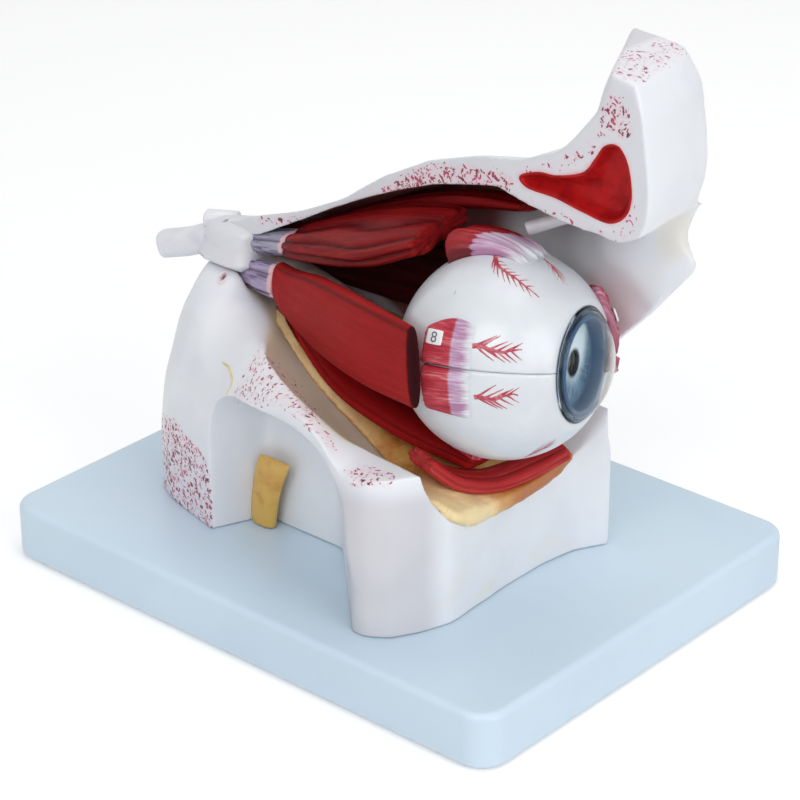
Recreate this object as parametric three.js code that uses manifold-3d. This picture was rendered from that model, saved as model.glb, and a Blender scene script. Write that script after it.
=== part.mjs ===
// Teaching model of a right eye in its cut-open bony orbit, three and a half times life size.
// Millimetres. +X is the way the eye looks, +Y is towards the nose, +Z is up.
// The origin is under the middle of the base board.
import * as THREE from 'three';
import { mergeVertices } from 'three/addons/utils/BufferGeometryUtils.js';
import Module from 'manifold-3d';

const wasm = await Module();
wasm.setup();

// Base board
const boardLength = 260;
const boardWidth = 197;
const boardTop = 24.5;
const boardCorner = 12;
const boardEdge = 3;
const underEdge = 0.8;
const footHeight = 1.5;
const footRadius = 9;
const footInset = 22;
const screwShank = 2.4;
const screwHead = 5;
const screwHeadHeight = 4;
const screwBite = 16;
const screwPlaces = [[-66, 8], [20, 12], [48, -52]];

// Eyeball, in its own frame: +X along the optic axis, +Z square to the seam
const eyeCentre = [70, -17, 127];
const eyeYaw = 12.5;
const eyePitch = 4.6;
const eyeRoll = -14.5;
const scleraRadius = 41;
const scleraWall = 4;
const eyeRoom = 3.4;
const choroidWall = 2;
const frontDepth = 8.4;
const choroidSetback = 5.2;
const corneaRadius = 22.6;
const corneaHeight = 11;
const corneaWall = 2;
const irisRadius = 19.2;
const irisThickness = 1.6;
const pupilRadius = 5;
const lensRadius = 13;
const lensThickness = 10;
const lensSetback = 9.2;
const nerveRadius = 6;
const nerveStubLength = 9;
const seamPegRadius = 1.1;
const seamPegHeight = 6;

// Planes square to the optic axis that follow the ball's radius
const frontPlane = scleraRadius - frontDepth;
const choroidFront = frontPlane - choroidSetback;
const corneaApex = frontPlane + corneaHeight;
const lensPlane = frontPlane - lensSetback;
const nerveStubEnd = scleraRadius + nerveStubLength;

// Orbit
const medialPlane = 37;
const wallFace = 31;
const wallFoot = 96;
const wallFront = 62;
const wallBack = 8;
const boneBack = -96;
const roofBack = -93;
const apexFront = -70;
const roofCutPlane = -10;
const roofFoot = [[wallFront, 142], [-60, 134.2], [roofBack, 133.4]];
// The head that closes the apex stands this high under the roof's back end, on the lower bone
const headHeight = 14.9;
const apexFoot = roofFoot[2][1] - headHeight;
const sinusDepth = 10;
const sinusLining = 1.6;

// Gap between touching pieces, and running clearance of pins and pegs
const gap = 0.3;
const pinClearance = 0.3;
const nestingGap = 0.7;

// Facets
const roundSteps = 32;
const innerSteps = 24;
const barSides = 16;

const colours = {
  bone: 0xe2e4e8, base: 0xcfe4f0, muscle: 0xa81c22, tendon: 0xb9aac4, fat: 0xd9a552, nerve: 0xd7a546,
  nerveWhite: 0xdcdce4, sclera: 0xdfe2e6, insertion: 0xbe4a5c, choroid: 0x5a2a24, vitreous: 0xdfeef4,
  lens: 0xf2f4ea, iris: 0x4b7d9b, cornea: 0xc8ccce, lining: 0xb4191e, metal: 0xb8bcc0, rubber: 0x2a2a2c,
};

const part = new THREE.Group();

// A closed mesh as a solid, its shared vertices merged and its faces pointing out
function toSolid(geometry) {
  const bare = new THREE.BufferGeometry();
  bare.setAttribute('position', geometry.getAttribute('position').clone());
  if (geometry.index) bare.setIndex(geometry.index.clone());
  const merged = mergeVertices(bare, 1e-4);
  const points = merged.getAttribute('position').array;
  const faces = Array.from(merged.index.array);
  let volume = 0;
  const corner = [new THREE.Vector3(), new THREE.Vector3(), new THREE.Vector3()];
  for (let i = 0; i < faces.length; i += 3) {
    corner.forEach((v, k) => v.fromArray(points, faces[i + k] * 3));
    volume += corner[0].dot(corner[1].cross(corner[2]));
  }
  if (volume < 0) faces.reverse();
  return new wasm.Manifold(new wasm.Mesh({
    numProp: 3, vertProperties: new Float32Array(points), triVerts: new Uint32Array(faces),
  }));
}

function toGeometry(solid) {
  const mesh = solid.getMesh();
  const geometry = new THREE.BufferGeometry();
  geometry.setAttribute('position', new THREE.BufferAttribute(new Float32Array(mesh.vertProperties), 3));
  geometry.setIndex(new THREE.BufferAttribute(new Uint32Array(mesh.triVerts), 1));
  geometry.computeVertexNormals();
  return geometry;
}

// The largest body of a solid, without the crumbs that a cut leaves
function largest(solid) {
  return solid.decompose().sort((a, b) => b.volume() - a.volume())[0];
}

function addPiece(name, solid, colour, holder = part, roughness = 0.5) {
  const material = new THREE.MeshStandardMaterial({ color: colour, roughness });
  const mesh = new THREE.Mesh(toGeometry(largest(solid)), material);
  mesh.name = name;
  holder.add(mesh);
}

// A skin through rings of equally many points, closed by flat ends; axis is the one left out when
// the end faces are laid flat to be filled
function loft(rings, axis = 0) {
  const count = rings[0].length;
  const positions = rings.flat().flat();
  const faces = [];
  for (let r = 0; r + 1 < rings.length; r += 1) {
    for (let i = 0; i < count; i += 1) {
      const a = r * count + i;
      const b = r * count + (i + 1) % count;
      faces.push(a, b, b + count, a, b + count, a + count);
    }
  }
  [0, rings.length - 1].forEach((r, end) => {
    const kept = [0, 1, 2].filter((k) => k !== axis);
    const flat = rings[r].map((p) => new THREE.Vector2(p[kept[0]], p[kept[1]]));
    const clockwise = THREE.ShapeUtils.isClockWise(flat);
    const probe = rings[r];
    const filled = THREE.ShapeUtils.triangulateShape(flat, []);
    const ringTurn = clockwise ? -1 : 1;
    filled.forEach(([a, b, c]) => {
      const turn = Math.sign(new THREE.Vector2().subVectors(flat[b], flat[a])
        .cross(new THREE.Vector2().subVectors(flat[c], flat[a]))) * ringTurn;
      const order = (turn > 0) === (end === 0) ? [a, c, b] : [a, b, c];
      faces.push(...order.map((k) => k + r * probe.length));
    });
  });
  const geometry = new THREE.BufferGeometry();
  geometry.setAttribute('position', new THREE.Float32BufferAttribute(positions, 3));
  geometry.setIndex(faces);
  return toSolid(geometry);
}

// Values between the rows of a table whose first column is the station, on a smooth curve
function rowAt(table, station) {
  const last = table.length - 1;
  const at = Math.min(Math.max(station, table[0][0]), table[last][0]);
  let k = 0;
  while (k < last - 1 && table[k + 1][0] < at) k += 1;
  const [p, q] = [table[k], table[k + 1]];
  const span = q[0] - p[0];
  const t = (at - p[0]) / span;
  return p.slice(1).map((value, i) => {
    const before = k > 0 ? table[k - 1] : p;
    const after = k + 2 <= last ? table[k + 2] : q;
    const slopeIn = k > 0 ? (q[i + 1] - before[i + 1]) / (q[0] - before[0]) : (q[i + 1] - value) / span;
    const slopeOut = k + 2 <= last ? (after[i + 1] - value) / (after[0] - p[0]) : (q[i + 1] - value) / span;
    const h1 = 2 * t ** 3 - 3 * t ** 2 + 1;
    const h2 = t ** 3 - 2 * t ** 2 + t;
    return h1 * value + h2 * slopeIn * span + (1 - h1) * q[i + 1] + (t ** 3 - t ** 2) * slopeOut * span;
  });
}

// Evenly spaced numbers from first to last
function spread(first, last, steps) {
  return Array.from({ length: steps + 1 }, (_, i) => first + (last - first) * i / steps);
}

function boxSolid(x0, x1, y0, y1, z0, z1) {
  const box = new THREE.BoxGeometry(x1 - x0, y1 - y0, z1 - z0);
  box.translate((x0 + x1) / 2, (y0 + y1) / 2, (z0 + z1) / 2);
  return toSolid(box);
}

// A round bar between two points
function barSolid(from, to, radiusFrom, radiusTo = radiusFrom, sides = barSides) {
  const start = new THREE.Vector3(...from);
  const run = new THREE.Vector3(...to).sub(start);
  const bar = new THREE.CylinderGeometry(radiusTo, radiusFrom, run.length(), sides);
  bar.translate(0, run.length() / 2, 0);
  bar.applyQuaternion(new THREE.Quaternion().setFromUnitVectors(
    new THREE.Vector3(0, 1, 0), run.clone().normalize()));
  bar.translate(...from);
  return toSolid(bar);
}

// A prism whose outline is drawn in two of the axes: 'xy' stands up, 'xz' runs along Y
function prism(outline, plane, from, to) {
  const ringAt = (d) => outline.map(([p, q]) => (plane === 'xy' ? [p, q, d] : [p, d, q]));
  return loft([ringAt(from), ringAt(to)], plane === 'xy' ? 2 : 1);
}

function smoothOutline(points, count, closed = true, tension = 0.5) {
  const curve = new THREE.CatmullRomCurve3(
    points.map(([p, q]) => new THREE.Vector3(p, q, 0)), closed, 'catmullrom', tension);
  const places = curve.getSpacedPoints(count).map((v) => [v.x, v.y]);
  return closed ? places.slice(0, -1) : places;
}

// The orbit as two nested cones of oval sections: station x, middle y, middle z, half width, half height,
// and the power of the oval, 2 for an ellipse and more for a squarer one
const upperCavity = [
  [-70, -1, 120.5, 14.5, 14.5, 2], [-43, -4, 122, 25, 26, 2], [-10, -8, 124, 36, 42, 2],
  [26, -12, 126, 42, 56, 2], [51, -14, 127, 45, 62, 2], [70, -16, 127, 47, 65.3, 2],
  [90, -16, 127, 47, 60.6, 2], [111, -16, 127, 47, 56.6, 2], [140, -16, 127, 47, 58, 2],
];
const lowerCavity = [
  [-70, 0, 119, 15.5, 12.5, 2], [-50, -2, 120, 27, 21, 2], [-22, -6, 122, 51, 34, 2],
  [0, -8, 123, 59, 45, 2], [18, -10, 124, 62, 53, 2.1], [31, -11, 124.5, 59.5, 57, 2.5],
  [43, -12, 125, 56, 61, 2.9], [60, -13.5, 126, 55, 64, 3], [76, -14, 126.5, 55, 65, 3],
  [100, -14, 126.5, 55, 66, 3],
];
const ovalSteps = 30;

function ovalRing(table, x) {
  const [y, z, a, b, power] = rowAt(table, x);
  const reach = (c) => Math.sign(c) * Math.pow(Math.abs(c), 2 / power);
  return Array.from({ length: ovalSteps }, (_, i) => {
    const turn = 2 * Math.PI * i / ovalSteps;
    return [x, y + a * reach(Math.cos(turn)), z + b * reach(Math.sin(turn))];
  });
}

function cavityCone(table, stations) {
  return loft(stations.map((x) => ovalRing(table, x)));
}

const coneStations = [apexFront, -58, -43, -26, -8, 10, 28, 46, 64, 82, 100, 120, 140];
const floorStations = [apexFront, -60, -50, -36, -22, -8, 8, 24, 36, 46, 60, 78, 100];
const upperCone = cavityCone(upperCavity, coneStations);
const lowerCone = cavityCone(lowerCavity, floorStations)
  .subtract(boxSolid(boneBack - 4, wallFront + 2, wallFace, 120, 0, 260));
const eyeSpace = toSolid(new THREE.SphereGeometry(scleraRadius + eyeRoom, roundSteps, innerSteps)
  .translate(...eyeCentre));
const orbitSpace = upperCone.add(lowerCone).add(eyeSpace);

// Base board, with its feet and screws
function baseBoard() {
  const outline = new THREE.Shape();
  const [hx, hy] = [boardLength / 2 - boardEdge, boardWidth / 2 - boardEdge];
  const r = boardCorner - boardEdge;
  outline.absarc(hx - r, -hy + r, r, -Math.PI / 2, 0);
  outline.absarc(hx - r, hy - r, r, 0, Math.PI / 2);
  outline.absarc(-hx + r, hy - r, r, Math.PI / 2, Math.PI);
  outline.absarc(-hx + r, -hy + r, r, Math.PI, 1.5 * Math.PI);
  const board = new THREE.ExtrudeGeometry(outline, {
    depth: boardTop - footHeight - boardEdge * 2, bevelThickness: boardEdge, bevelSize: boardEdge,
    bevelSegments: 3, curveSegments: 4,
  });
  board.translate(0, 0, footHeight + boardEdge);
  const squareUnder = new THREE.ExtrudeGeometry(outline, {
    depth: boardEdge * 2, bevelThickness: underEdge, bevelSize: boardEdge, bevelSegments: 1,
    curveSegments: 4,
  });
  squareUnder.translate(0, 0, footHeight + underEdge);
  let solid = toSolid(board).add(toSolid(squareUnder));
  for (const [x, y] of screwPlaces) {
    solid = solid.subtract(barSolid([x, y, 0], [x, y, boardTop + 1], screwShank + pinClearance));
    solid = solid.subtract(barSolid([x, y, -1], [x, y, footHeight + screwHeadHeight + gap],
      screwHead + 1));
  }
  return solid;
}

addPiece('base_board', baseBoard(), colours.base);
[[1, 1], [1, -1], [-1, 1], [-1, -1]].forEach(([sx, sy], i) => {
  const [x, y] = [sx * (boardLength / 2 - footInset), sy * (boardWidth / 2 - footInset)];
  addPiece(`foot_${i + 1}`, barSolid([x, y, 0], [x, y, footHeight - gap / 3], footRadius, footRadius, 20),
    colours.rubber, part, 0.9);
});

function screwSolid(x, y, grow = 0) {
  const seat = footHeight + screwHeadHeight;
  const shank = barSolid([x, y, seat - 1], [x, y, boardTop + screwBite + grow], screwShank + grow);
  return grow ? shank : shank.add(barSolid([x, y, footHeight], [x, y, seat], screwHead));
}

// Lower bone: sections across X. Each row holds the station, the lateral face's y, the height of that
// face, the pull of the shoulder's curve (y, z), the inner end of the shoulder (y, z)
const lowerSections = [
  [-96, -42, 48, -37, 92, -8, 113], [-91, -46, 52, -41, 103, -13, 119.6],
  [-80, -52, 58, -47.5, 104, -16, 119.6],
  [-71, -54.6, 63, -50.4, 101, -18, 117.6], [-65, -56.2, 66.6, -52.4, 100, -20.5, 108],
  [-47, -60.7, 80, -56, 99, -34, 105], [-22, -66.7, 95, -61, 103, -53, 109],
  [0, -72, 103, -66, 105.5, -59, 107], [18, -76.3, 104.5, -71, 105, -64, 103.5],
  [31, -79.4, 100, -75, 100, -67, 98], [43, -82.3, 91.5, -78, 93.5, -67, 95],
  [60, -86.4, 91, -78, 94, -67, 94], [86, -92.6, 91, -78, 93, -67, 93],
];
const shoulderSteps = 6;

function lowerRing(x) {
  const [yFace, zFace, yPull, zPull, yTop, zTop] = rowAt(lowerSections, x);
  const shoulder = new THREE.QuadraticBezierCurve(
    new THREE.Vector2(yFace, zFace), new THREE.Vector2(yPull, zPull), new THREE.Vector2(yTop, zTop));
  const edge = shoulder.getPoints(shoulderSteps).map((v) => [x, v.x, v.y]);
  return [[x, medialPlane, boardTop + gap], [x, yFace, boardTop + gap], ...edge, [x, medialPlane, zTop]];
}

// Footprint of the lower bone on the board
const footprint = [
  [-93, 37], [-94, 0], [-93, -38], [-89.6, -50], [-45.3, -61.1], [30, -79.2], [47, -83.2],
  [56, -82.5], [64, -77], [70.1, -66.3], [74.6, -52.3], [73.4, -33], [72.2, -12], [72.4, 6],
  [75, 24], [80.5, 34], [82.2, 37],
];

function recessRing(y) {
  const deep = -37 - y;
  const left = -38.5 - deep * 0.415;
  const right = 3.4 + deep * 1.004;
  const top = 79 + deep * 0.51;
  const foot = boardTop - 1;
  const [middle, half] = [(left + right) / 2, (right - left) / 2];
  return Array.from({ length: 19 }, (_, i) => {
    const u = Math.cos(Math.PI * i / 18);
    const power = u < 0 ? 6 : 3.6;
    const rise = Math.pow(Math.max(0, 1 - Math.pow(Math.abs(u), power)), 1 / power);
    return [middle + half * u, y, foot + (top - foot) * rise];
  });
}

const recess = loft([-37, -50, -64, -78, -94].map(recessRing), 1);
const lowerStations = [
  boneBack, -91, -80, -71, -65, -56, -47, -34, -22, -10, 0, 9, 18, 25, 31, 37, 43, 52, 60, 72, 86];
const lowerBlock = loft(lowerStations.map(lowerRing));
const stepCut = boxSolid(boneBack - 10, wallFront + gap, wallBack - gap, 60, wallFoot - gap, 200);
const apexCut = boxSolid(boneBack - 10, apexFront + gap, -60, 60, apexFoot - gap, 200);
let lowerBone = lowerBlock
  .intersect(prism(footprint, 'xy', boardTop, 200))
  .subtract(orbitSpace)
  .subtract(recess)
  .subtract(stepCut)
  .subtract(apexCut);
screwPlaces.forEach(([x, y], i) => addPiece(`base_screw_${i + 1}`, screwSolid(x, y), colours.metal));

// Frontal bone with the orbital roof: outline on the cut face, from the back over the top to the brow
const roofOutline = [
  [-93, 135.4], [-81, 137.2], [-70.6, 141.8], [-42.5, 152.4], [-18, 165], [2, 179.6], [25.9, 192.6],
  [48, 200], [70, 204.4], [88.6, 213], [95.4, 220], [104.6, 231], [107, 239.5], [110.3, 248.2],
  [122.2, 246.3], [125.7, 233.5], [128.8, 214.7], [129.7, 205], [129.2, 196], [126, 188], [118, 183.6], [110, 178],
];
const roofFall = 17;

// How far the roof has come down at a distance behind its cut face
function fallAt(y) {
  return roofFall * Math.pow(Math.max(0, (y - roofCutPlane) / (medialPlane - roofCutPlane)), 1.1);
}

// The joint between the roof and the medial wall, level in front and falling with the roof behind
function footLine(y) {
  return roofFoot.map(([x, z]) => [x, x < 0 ? z - fallAt(y) : z]);
}

function roofRing(y) {
  const back = (y - roofCutPlane) / (medialPlane - roofCutPlane);
  const over = roofOutline.map(([x, z]) => {
    const isFront = x > 119;
    const inner = x < 112 && z > 205;
    const roofPart = Math.min(1, Math.max(0, (96 - x) / 30));
    const taper = isFront ? -7.5 * back ** 2 - (z > 235 ? 5 * back : 0) : 0;
    const thin = inner ? -25 * back * Math.min(1, (z - 205) / 30) : 0;
    return [x + taper + thin, y, z - fallAt(y) * roofPart];
  });
  return [...over, ...footLine(y).map(([x, z]) => [x, y, z])];
}

const sinusOutline = [
  [70.6, 197], [79, 200.8], [87, 201.6], [100.5, 206.7], [105.7, 213.6], [109.6, 219.3], [114.6, 220.8],
  [118.8, 215.9], [121, 202], [118.8, 195.6], [112.6, 191.3], [99, 192.4], [87.3, 194.3], [73, 195],
];

function sinusRing(y, shrink) {
  const [midX, midZ] = [103, 201];
  return smoothOutline(sinusOutline, 30).map(([x, z]) => {
    const away = Math.hypot(x - midX, z - midZ);
    const keep = Math.max(0.05, (away - shrink) / away);
    return [midX + (x - midX) * keep, y, midZ + (z - midZ) * keep];
  });
}

function sinusSolid(inset) {
  return loft([
    sinusRing(roofCutPlane - 3, inset), sinusRing(roofCutPlane + 1, inset),
    sinusRing(roofCutPlane + sinusDepth * 0.55, inset + 1.2),
    sinusRing(roofCutPlane + sinusDepth - inset, inset + 4),
  ], 1);
}

// Nasal process: drawn from above, then trimmed to its profile from the side
const nasalPlan = [
  [58, 37], [58, 31.5], [72, 28.5], [84, 25.5], [96, 26.5], [108, 30], [117, 34], [123, 37]];
const nasalProfile = [
  [62, 120], [80.6, 113.2], [100.6, 134.6], [118.5, 156.8], [119.7, 160.5], [115.6, 166.4], [114.2, 172.2],
  [118.5, 182.8], [121, 186], [62, 184],
];
const nasalProcess = prism(nasalPlan, 'xy', 100, 210).intersect(prism(nasalProfile, 'xz', 20, 40));

const roofBlock = loft(spread(roofCutPlane, medialPlane, 8).map(roofRing), 1);
const frontalBone = roofBlock.subtract(orbitSpace)
  .add(nasalProcess.subtract(boxSolid(0, wallFront + gap, 0, 60, 0, roofFoot[0][1])))
  .subtract(upperCone)
  .subtract(eyeSpace)
  .subtract(sinusSolid(0))
  .subtract(boxSolid(0, wallFront + gap, wallBack - gap, 60, 90, roofFoot[2][1]));
addPiece('sinus_lining',
  sinusSolid(gap).subtract(boxSolid(60, 130, roofCutPlane - 10, roofCutPlane + gap * 2, 180, 230))
    .subtract(sinusSolid(sinusLining + gap)), colours.lining);

// Medial wall: a plate on the lower bone's step, joined to the head that closes the apex
const headBack = wallBack + 2;
const wallPlate = loft(spread(wallBack, medialPlane, 4).map((y) => [
  [roofBack, y, wallFoot], [wallFront, y, wallFoot], ...footLine(y).map(([x, z]) => [x, y, z - gap])]), 1);

// The head's top follows the roof's foot
function headTop(x) {
  const [, [nearX, nearZ], [farX, farZ]] = roofFoot;
  return farZ + (nearZ - farZ) * (x - farX) / (nearX - farX) - gap;
}
const headFlank = [[-17, 0], [-16.4, 0.22], [-14.8, 0.5], [-12.4, 0.8], [roofCutPlane, 1]];
const headRows = [[boneBack, 3.4], [roofBack, 1], [-88, 0.2], [apexFront, 0]];
const apexHead = loft(headRows.map(([x, round]) => [
  [x, headBack, apexFoot], ...headFlank.map(([y, share]) => [
    x, y + round, apexFoot + share * (headTop(x) - apexFoot - round)]),
  ...[-2, headBack].map((y) => [x, y, headTop(x) - fallAt(y) - round]),
]));
addPiece('frontal_bone', frontalBone, colours.bone);
const medialWall = wallPlate.add(apexHead).subtract(orbitSpace).subtract(frontalBone);
addPiece('medial_wall', medialWall, colours.bone);

// Yellow nerve that runs down the inner corner of the recess
const nerveFoot = [-35.2, -42.5];
const nerveTop = 57;
const nerveHalf = 6.6;
const nerveBand = loft(spread(boardTop + gap * 2, nerveTop, 6).map((z) => {
  const rise = (z - boardTop) / (nerveTop - boardTop);
  const x = nerveFoot[0] + 7 * rise * rise;
  const half = nerveHalf + 2.4 * rise;
  const thick = 3 - 2 * rise * rise;
  return Array.from({ length: 12 }, (_, i) => {
    const turn = 2 * Math.PI * i / 12;
    return [x + half * Math.cos(turn), nerveFoot[1] + thick * Math.sin(turn), z];
  });
}), 2);
addPiece('infraorbital_nerve', nerveBand.subtract(lowerBone), colours.nerve);

// Fat pad on the floor of the orbit: station, outer edge's y, height over the floor
const fatRows = [
  [-58, -11, 3], [-47, -21.5, 6], [-35, -25, 7], [-15, -30, 8], [9, -32.5, 8], [32, -38.5, 7.5],
  [44, -47, 9], [54, -56, 9.5], [64, -58, 8], [70, -55.5, 6.5], [75.5, -53, 5],
];
const fatSteps = 10;
const fatRest = 1;

function fatRing(x) {
  const [outer, height] = rowAt(fatRows, x);
  const [y, z, a, b, power] = rowAt(lowerCavity, x);
  const inner = Math.min(wallFace - gap * 2, y + a * 0.62);
  const across = spread(outer, inner, fatSteps);
  const floorAt = (place) => {
    const aside = Math.abs(place - y) / (a - fatRest);
    return z - (b - fatRest) * Math.pow(Math.max(0, 1 - Math.pow(aside, power)), 1 / power);
  };
  const bottom = across.map((place) => [x, place, floorAt(place)]);
  const top = across.map((place, i) => {
    const t = i / fatSteps;
    const full = Math.min(1, t * 4.5) * Math.min(1, (1 - t) * 6 + 0.2);
    return [x, place, floorAt(place) + 0.6 + (height - 0.6) * Math.sqrt(full)];
  });
  return [...bottom, ...top.reverse()];
}
const fatBlock = loft([-58, -52, -47, -35, -22, -8, 8, 20, 32, 42, 54, 66, 75.5].map(fatRing));

// Muscles: a strap swept along a path, each row with the station's point, its width, its thickness and
// the turn of its broad side about the path (0 lays it flat, 90 stands it up)
const strapSteps = 9;

function strap(rows, sides = 14) {
  const curve = new THREE.CatmullRomCurve3(rows.map((row) => new THREE.Vector3(...row.slice(0, 3))));
  const table = rows.map((row, i) => [i / (rows.length - 1), ...row.slice(3)]);
  const rings = spread(0, 1, strapSteps).map((t) => {
    const at = curve.getPoint(t);
    const ahead = curve.getTangent(t);
    const [width, thickness, turn] = rowAt(table, t);
    const flat = new THREE.Vector3(0, 0, 1).cross(ahead).normalize();
    const rise = ahead.clone().cross(flat).normalize();
    const broad = flat.clone().multiplyScalar(Math.cos(turn * Math.PI / 180))
      .addScaledVector(rise, Math.sin(turn * Math.PI / 180));
    const thin = ahead.clone().cross(broad).normalize();
    return Array.from({ length: sides }, (_, i) => {
      const a = 2 * Math.PI * (i + 0.5) / sides;
      const [c, d] = [Math.cos(a), Math.sin(a)];
      const u = Math.sign(c) * Math.pow(Math.abs(c), 0.75) * width / 2;
      const v = Math.sign(d) * Math.pow(Math.abs(d), 0.75) * thickness / 2;
      return at.clone().addScaledVector(broad, u).addScaledVector(thin, v).toArray();
    });
  });
  return loft(rings);
}

// A strap's rows with the section grown on every side
const grown = (rows, by) => rows.map(([x, y, z, width, thickness, turn]) => [
  x, y, z, width + 2 * by, thickness + 2 * by, turn]);

// Eyeball: every shell is a revolve about the optic axis, cut in half at the seam
const eye = new THREE.Group();
eye.position.set(...eyeCentre);
const degree = Math.PI / 180;
eye.rotation.set(eyeRoll * degree, -eyePitch * degree, eyeYaw * degree, 'ZYX');
part.add(eye);
part.updateMatrixWorld(true);

function revolve(profile, steps = roundSteps) {
  const shape = new THREE.LatheGeometry(profile.map(([x, r]) => new THREE.Vector2(r, x)), steps);
  shape.rotateZ(-Math.PI / 2);
  return toSolid(shape);
}

function arcPoints(radius, fromX, toX, steps) {
  const [a, b] = [Math.acos(fromX / radius), Math.acos(toX / radius)];
  return spread(a, b, steps).map((t) => [radius * Math.cos(t), radius * Math.sin(t)]);
}

// A hollow ball open in front at a plane square to the optic axis
function shellSolid(outer, inner, front, arcSteps, steps) {
  const outside = arcPoints(outer, -outer, front, arcSteps);
  const inside = arcPoints(inner, front, -inner, arcSteps - 2);
  outside[0][1] = 0;
  inside[inside.length - 1][1] = 0;
  return revolve([...outside, ...inside], steps);
}

const upperHalf = (low) => boxSolid(-90, 90, -90, 90, low, 90);
const lowerHalf = (high) => boxSolid(-90, 90, -90, 90, -90, high);
const scleraInner = scleraRadius - scleraWall;
const choroidOuter = scleraInner - nestingGap;
const choroidInner = choroidOuter - choroidWall;
const vitreousRadius = choroidInner - nestingGap;

// Pegs on the seam: one each side of the back, in the middle of the sclera's wall
const pegRadiusPlace = scleraRadius - scleraWall / 2;
const seamPegAngles = [118, -118];
const pegPlaces = seamPegAngles.map((a) => [
  pegRadiusPlace * Math.cos(a * degree), pegRadiusPlace * Math.sin(a * degree)]);
const pegBar = (x, y, radius, from, to) => barSolid([x, y, from], [x, y, to], radius, radius, 12);

const sclera = shellSolid(scleraRadius, scleraInner, frontPlane, 12, roundSteps);
const choroid = shellSolid(choroidOuter, choroidInner, choroidFront, 10, innerSteps);
let lowerSclera = sclera.intersect(lowerHalf(-gap / 2));
let upperSclera = sclera.intersect(upperHalf(gap / 2));
for (const [x, y] of pegPlaces) {
  const hole = pegBar(x, y, seamPegRadius + pinClearance, -seamPegHeight / 2 - gap, seamPegHeight / 2 + gap);
  lowerSclera = lowerSclera.subtract(hole);
  upperSclera = upperSclera.subtract(hole);
}
addPiece('sclera_lower', lowerSclera, colours.sclera, eye);
addPiece('sclera_upper', upperSclera, colours.sclera, eye);
pegPlaces.forEach(([x, y], i) => addPiece(`seam_peg_${i + 1}`,
  pegBar(x, y, seamPegRadius, -seamPegHeight / 2, seamPegHeight / 2), colours.metal, eye));
addPiece('choroid_lower', choroid.intersect(lowerHalf(-gap / 2)), colours.choroid, eye);
addPiece('choroid_upper', choroid.intersect(upperHalf(gap / 2)), colours.choroid, eye);

function lensProfile(grow) {
  const half = lensThickness / 2 + grow;
  const rim = lensRadius + grow;
  const radius = (rim * rim + half * half) / (2 * half);
  const sweep = Math.asin(rim / radius);
  const backFace = spread(0, sweep, 6).map((t) => [
    lensPlane - half + radius - radius * Math.cos(t), radius * Math.sin(t)]);
  const frontFace = backFace.slice(0, -1).reverse().map(([x, r]) => [2 * lensPlane - x, r]);
  return [...backFace, ...frontFace];
}

const vitreousProfile = [...arcPoints(vitreousRadius, -vitreousRadius, lensPlane, 10), [lensPlane, 0]];
vitreousProfile[0][1] = 0;
addPiece('vitreous_body', revolve(vitreousProfile, innerSteps)
  .subtract(revolve(lensProfile(gap), innerSteps)), colours.vitreous, eye);
addPiece('lens', revolve(lensProfile(0), innerSteps), colours.lens, eye);

const frontSeat = frontPlane + gap;
addPiece('iris', revolve([
  [frontSeat, pupilRadius], [frontSeat, irisRadius], [frontSeat + irisThickness, irisRadius],
  [frontSeat + irisThickness + 1, pupilRadius], [frontSeat, pupilRadius]]), colours.iris, eye);

function domeProfile(apex, foot, radius, steps) {
  const height = apex - foot;
  const ball = (radius * radius + height * height) / (2 * height);
  const sweep = Math.atan2(radius, ball - height);
  return spread(0, sweep, steps).map((t) => [apex - ball + ball * Math.cos(t), ball * Math.sin(t)]);
}
const corneaOutside = domeProfile(corneaApex, frontSeat, corneaRadius, 7);
const corneaInside = domeProfile(corneaApex - corneaWall, frontSeat + irisThickness,
  corneaRadius - corneaWall, 6).reverse();
addPiece('cornea', revolve([...corneaOutside, [frontSeat, corneaRadius - corneaWall], ...corneaInside]),
  colours.cornea, eye);

// A patch that lies on the sclera between two meridians and two heights; lift runs from back to front
function insertion(middle, spanBack, spanFront, low, high, liftBack, liftFront, top = false, seat = gap) {
  const rows = spread(0, 1, 6);
  const ringAt = (t) => {
    const along = -spanBack + (spanBack + spanFront) * t;
    const lift = liftBack + (liftFront - liftBack) * Math.pow(t, 0.7);
    const narrow = 1 - 0.18 * Math.sin(Math.PI * t * 0.9);
    const side = spread(low * narrow, high * narrow, 8);
    const point = (across, radius) => {
      const v = new THREE.Vector3(radius, 0, 0);
      if (top) v.applyAxisAngle(new THREE.Vector3(0, 0, 1), across * degree)
        .applyAxisAngle(new THREE.Vector3(0, 1, 0), (along + middle) * degree);
      else v.applyAxisAngle(new THREE.Vector3(0, 1, 0), -across * degree)
        .applyAxisAngle(new THREE.Vector3(0, 0, 1), (middle + along * Math.sign(-middle || 1)) * degree);
      return v.toArray();
    };
    return [...side.map((a) => point(a, scleraRadius + seat)),
      ...side.reverse().map((a) => point(a, scleraRadius + seat + lift))];
  };
  return { rows, ringAt };
}

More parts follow.
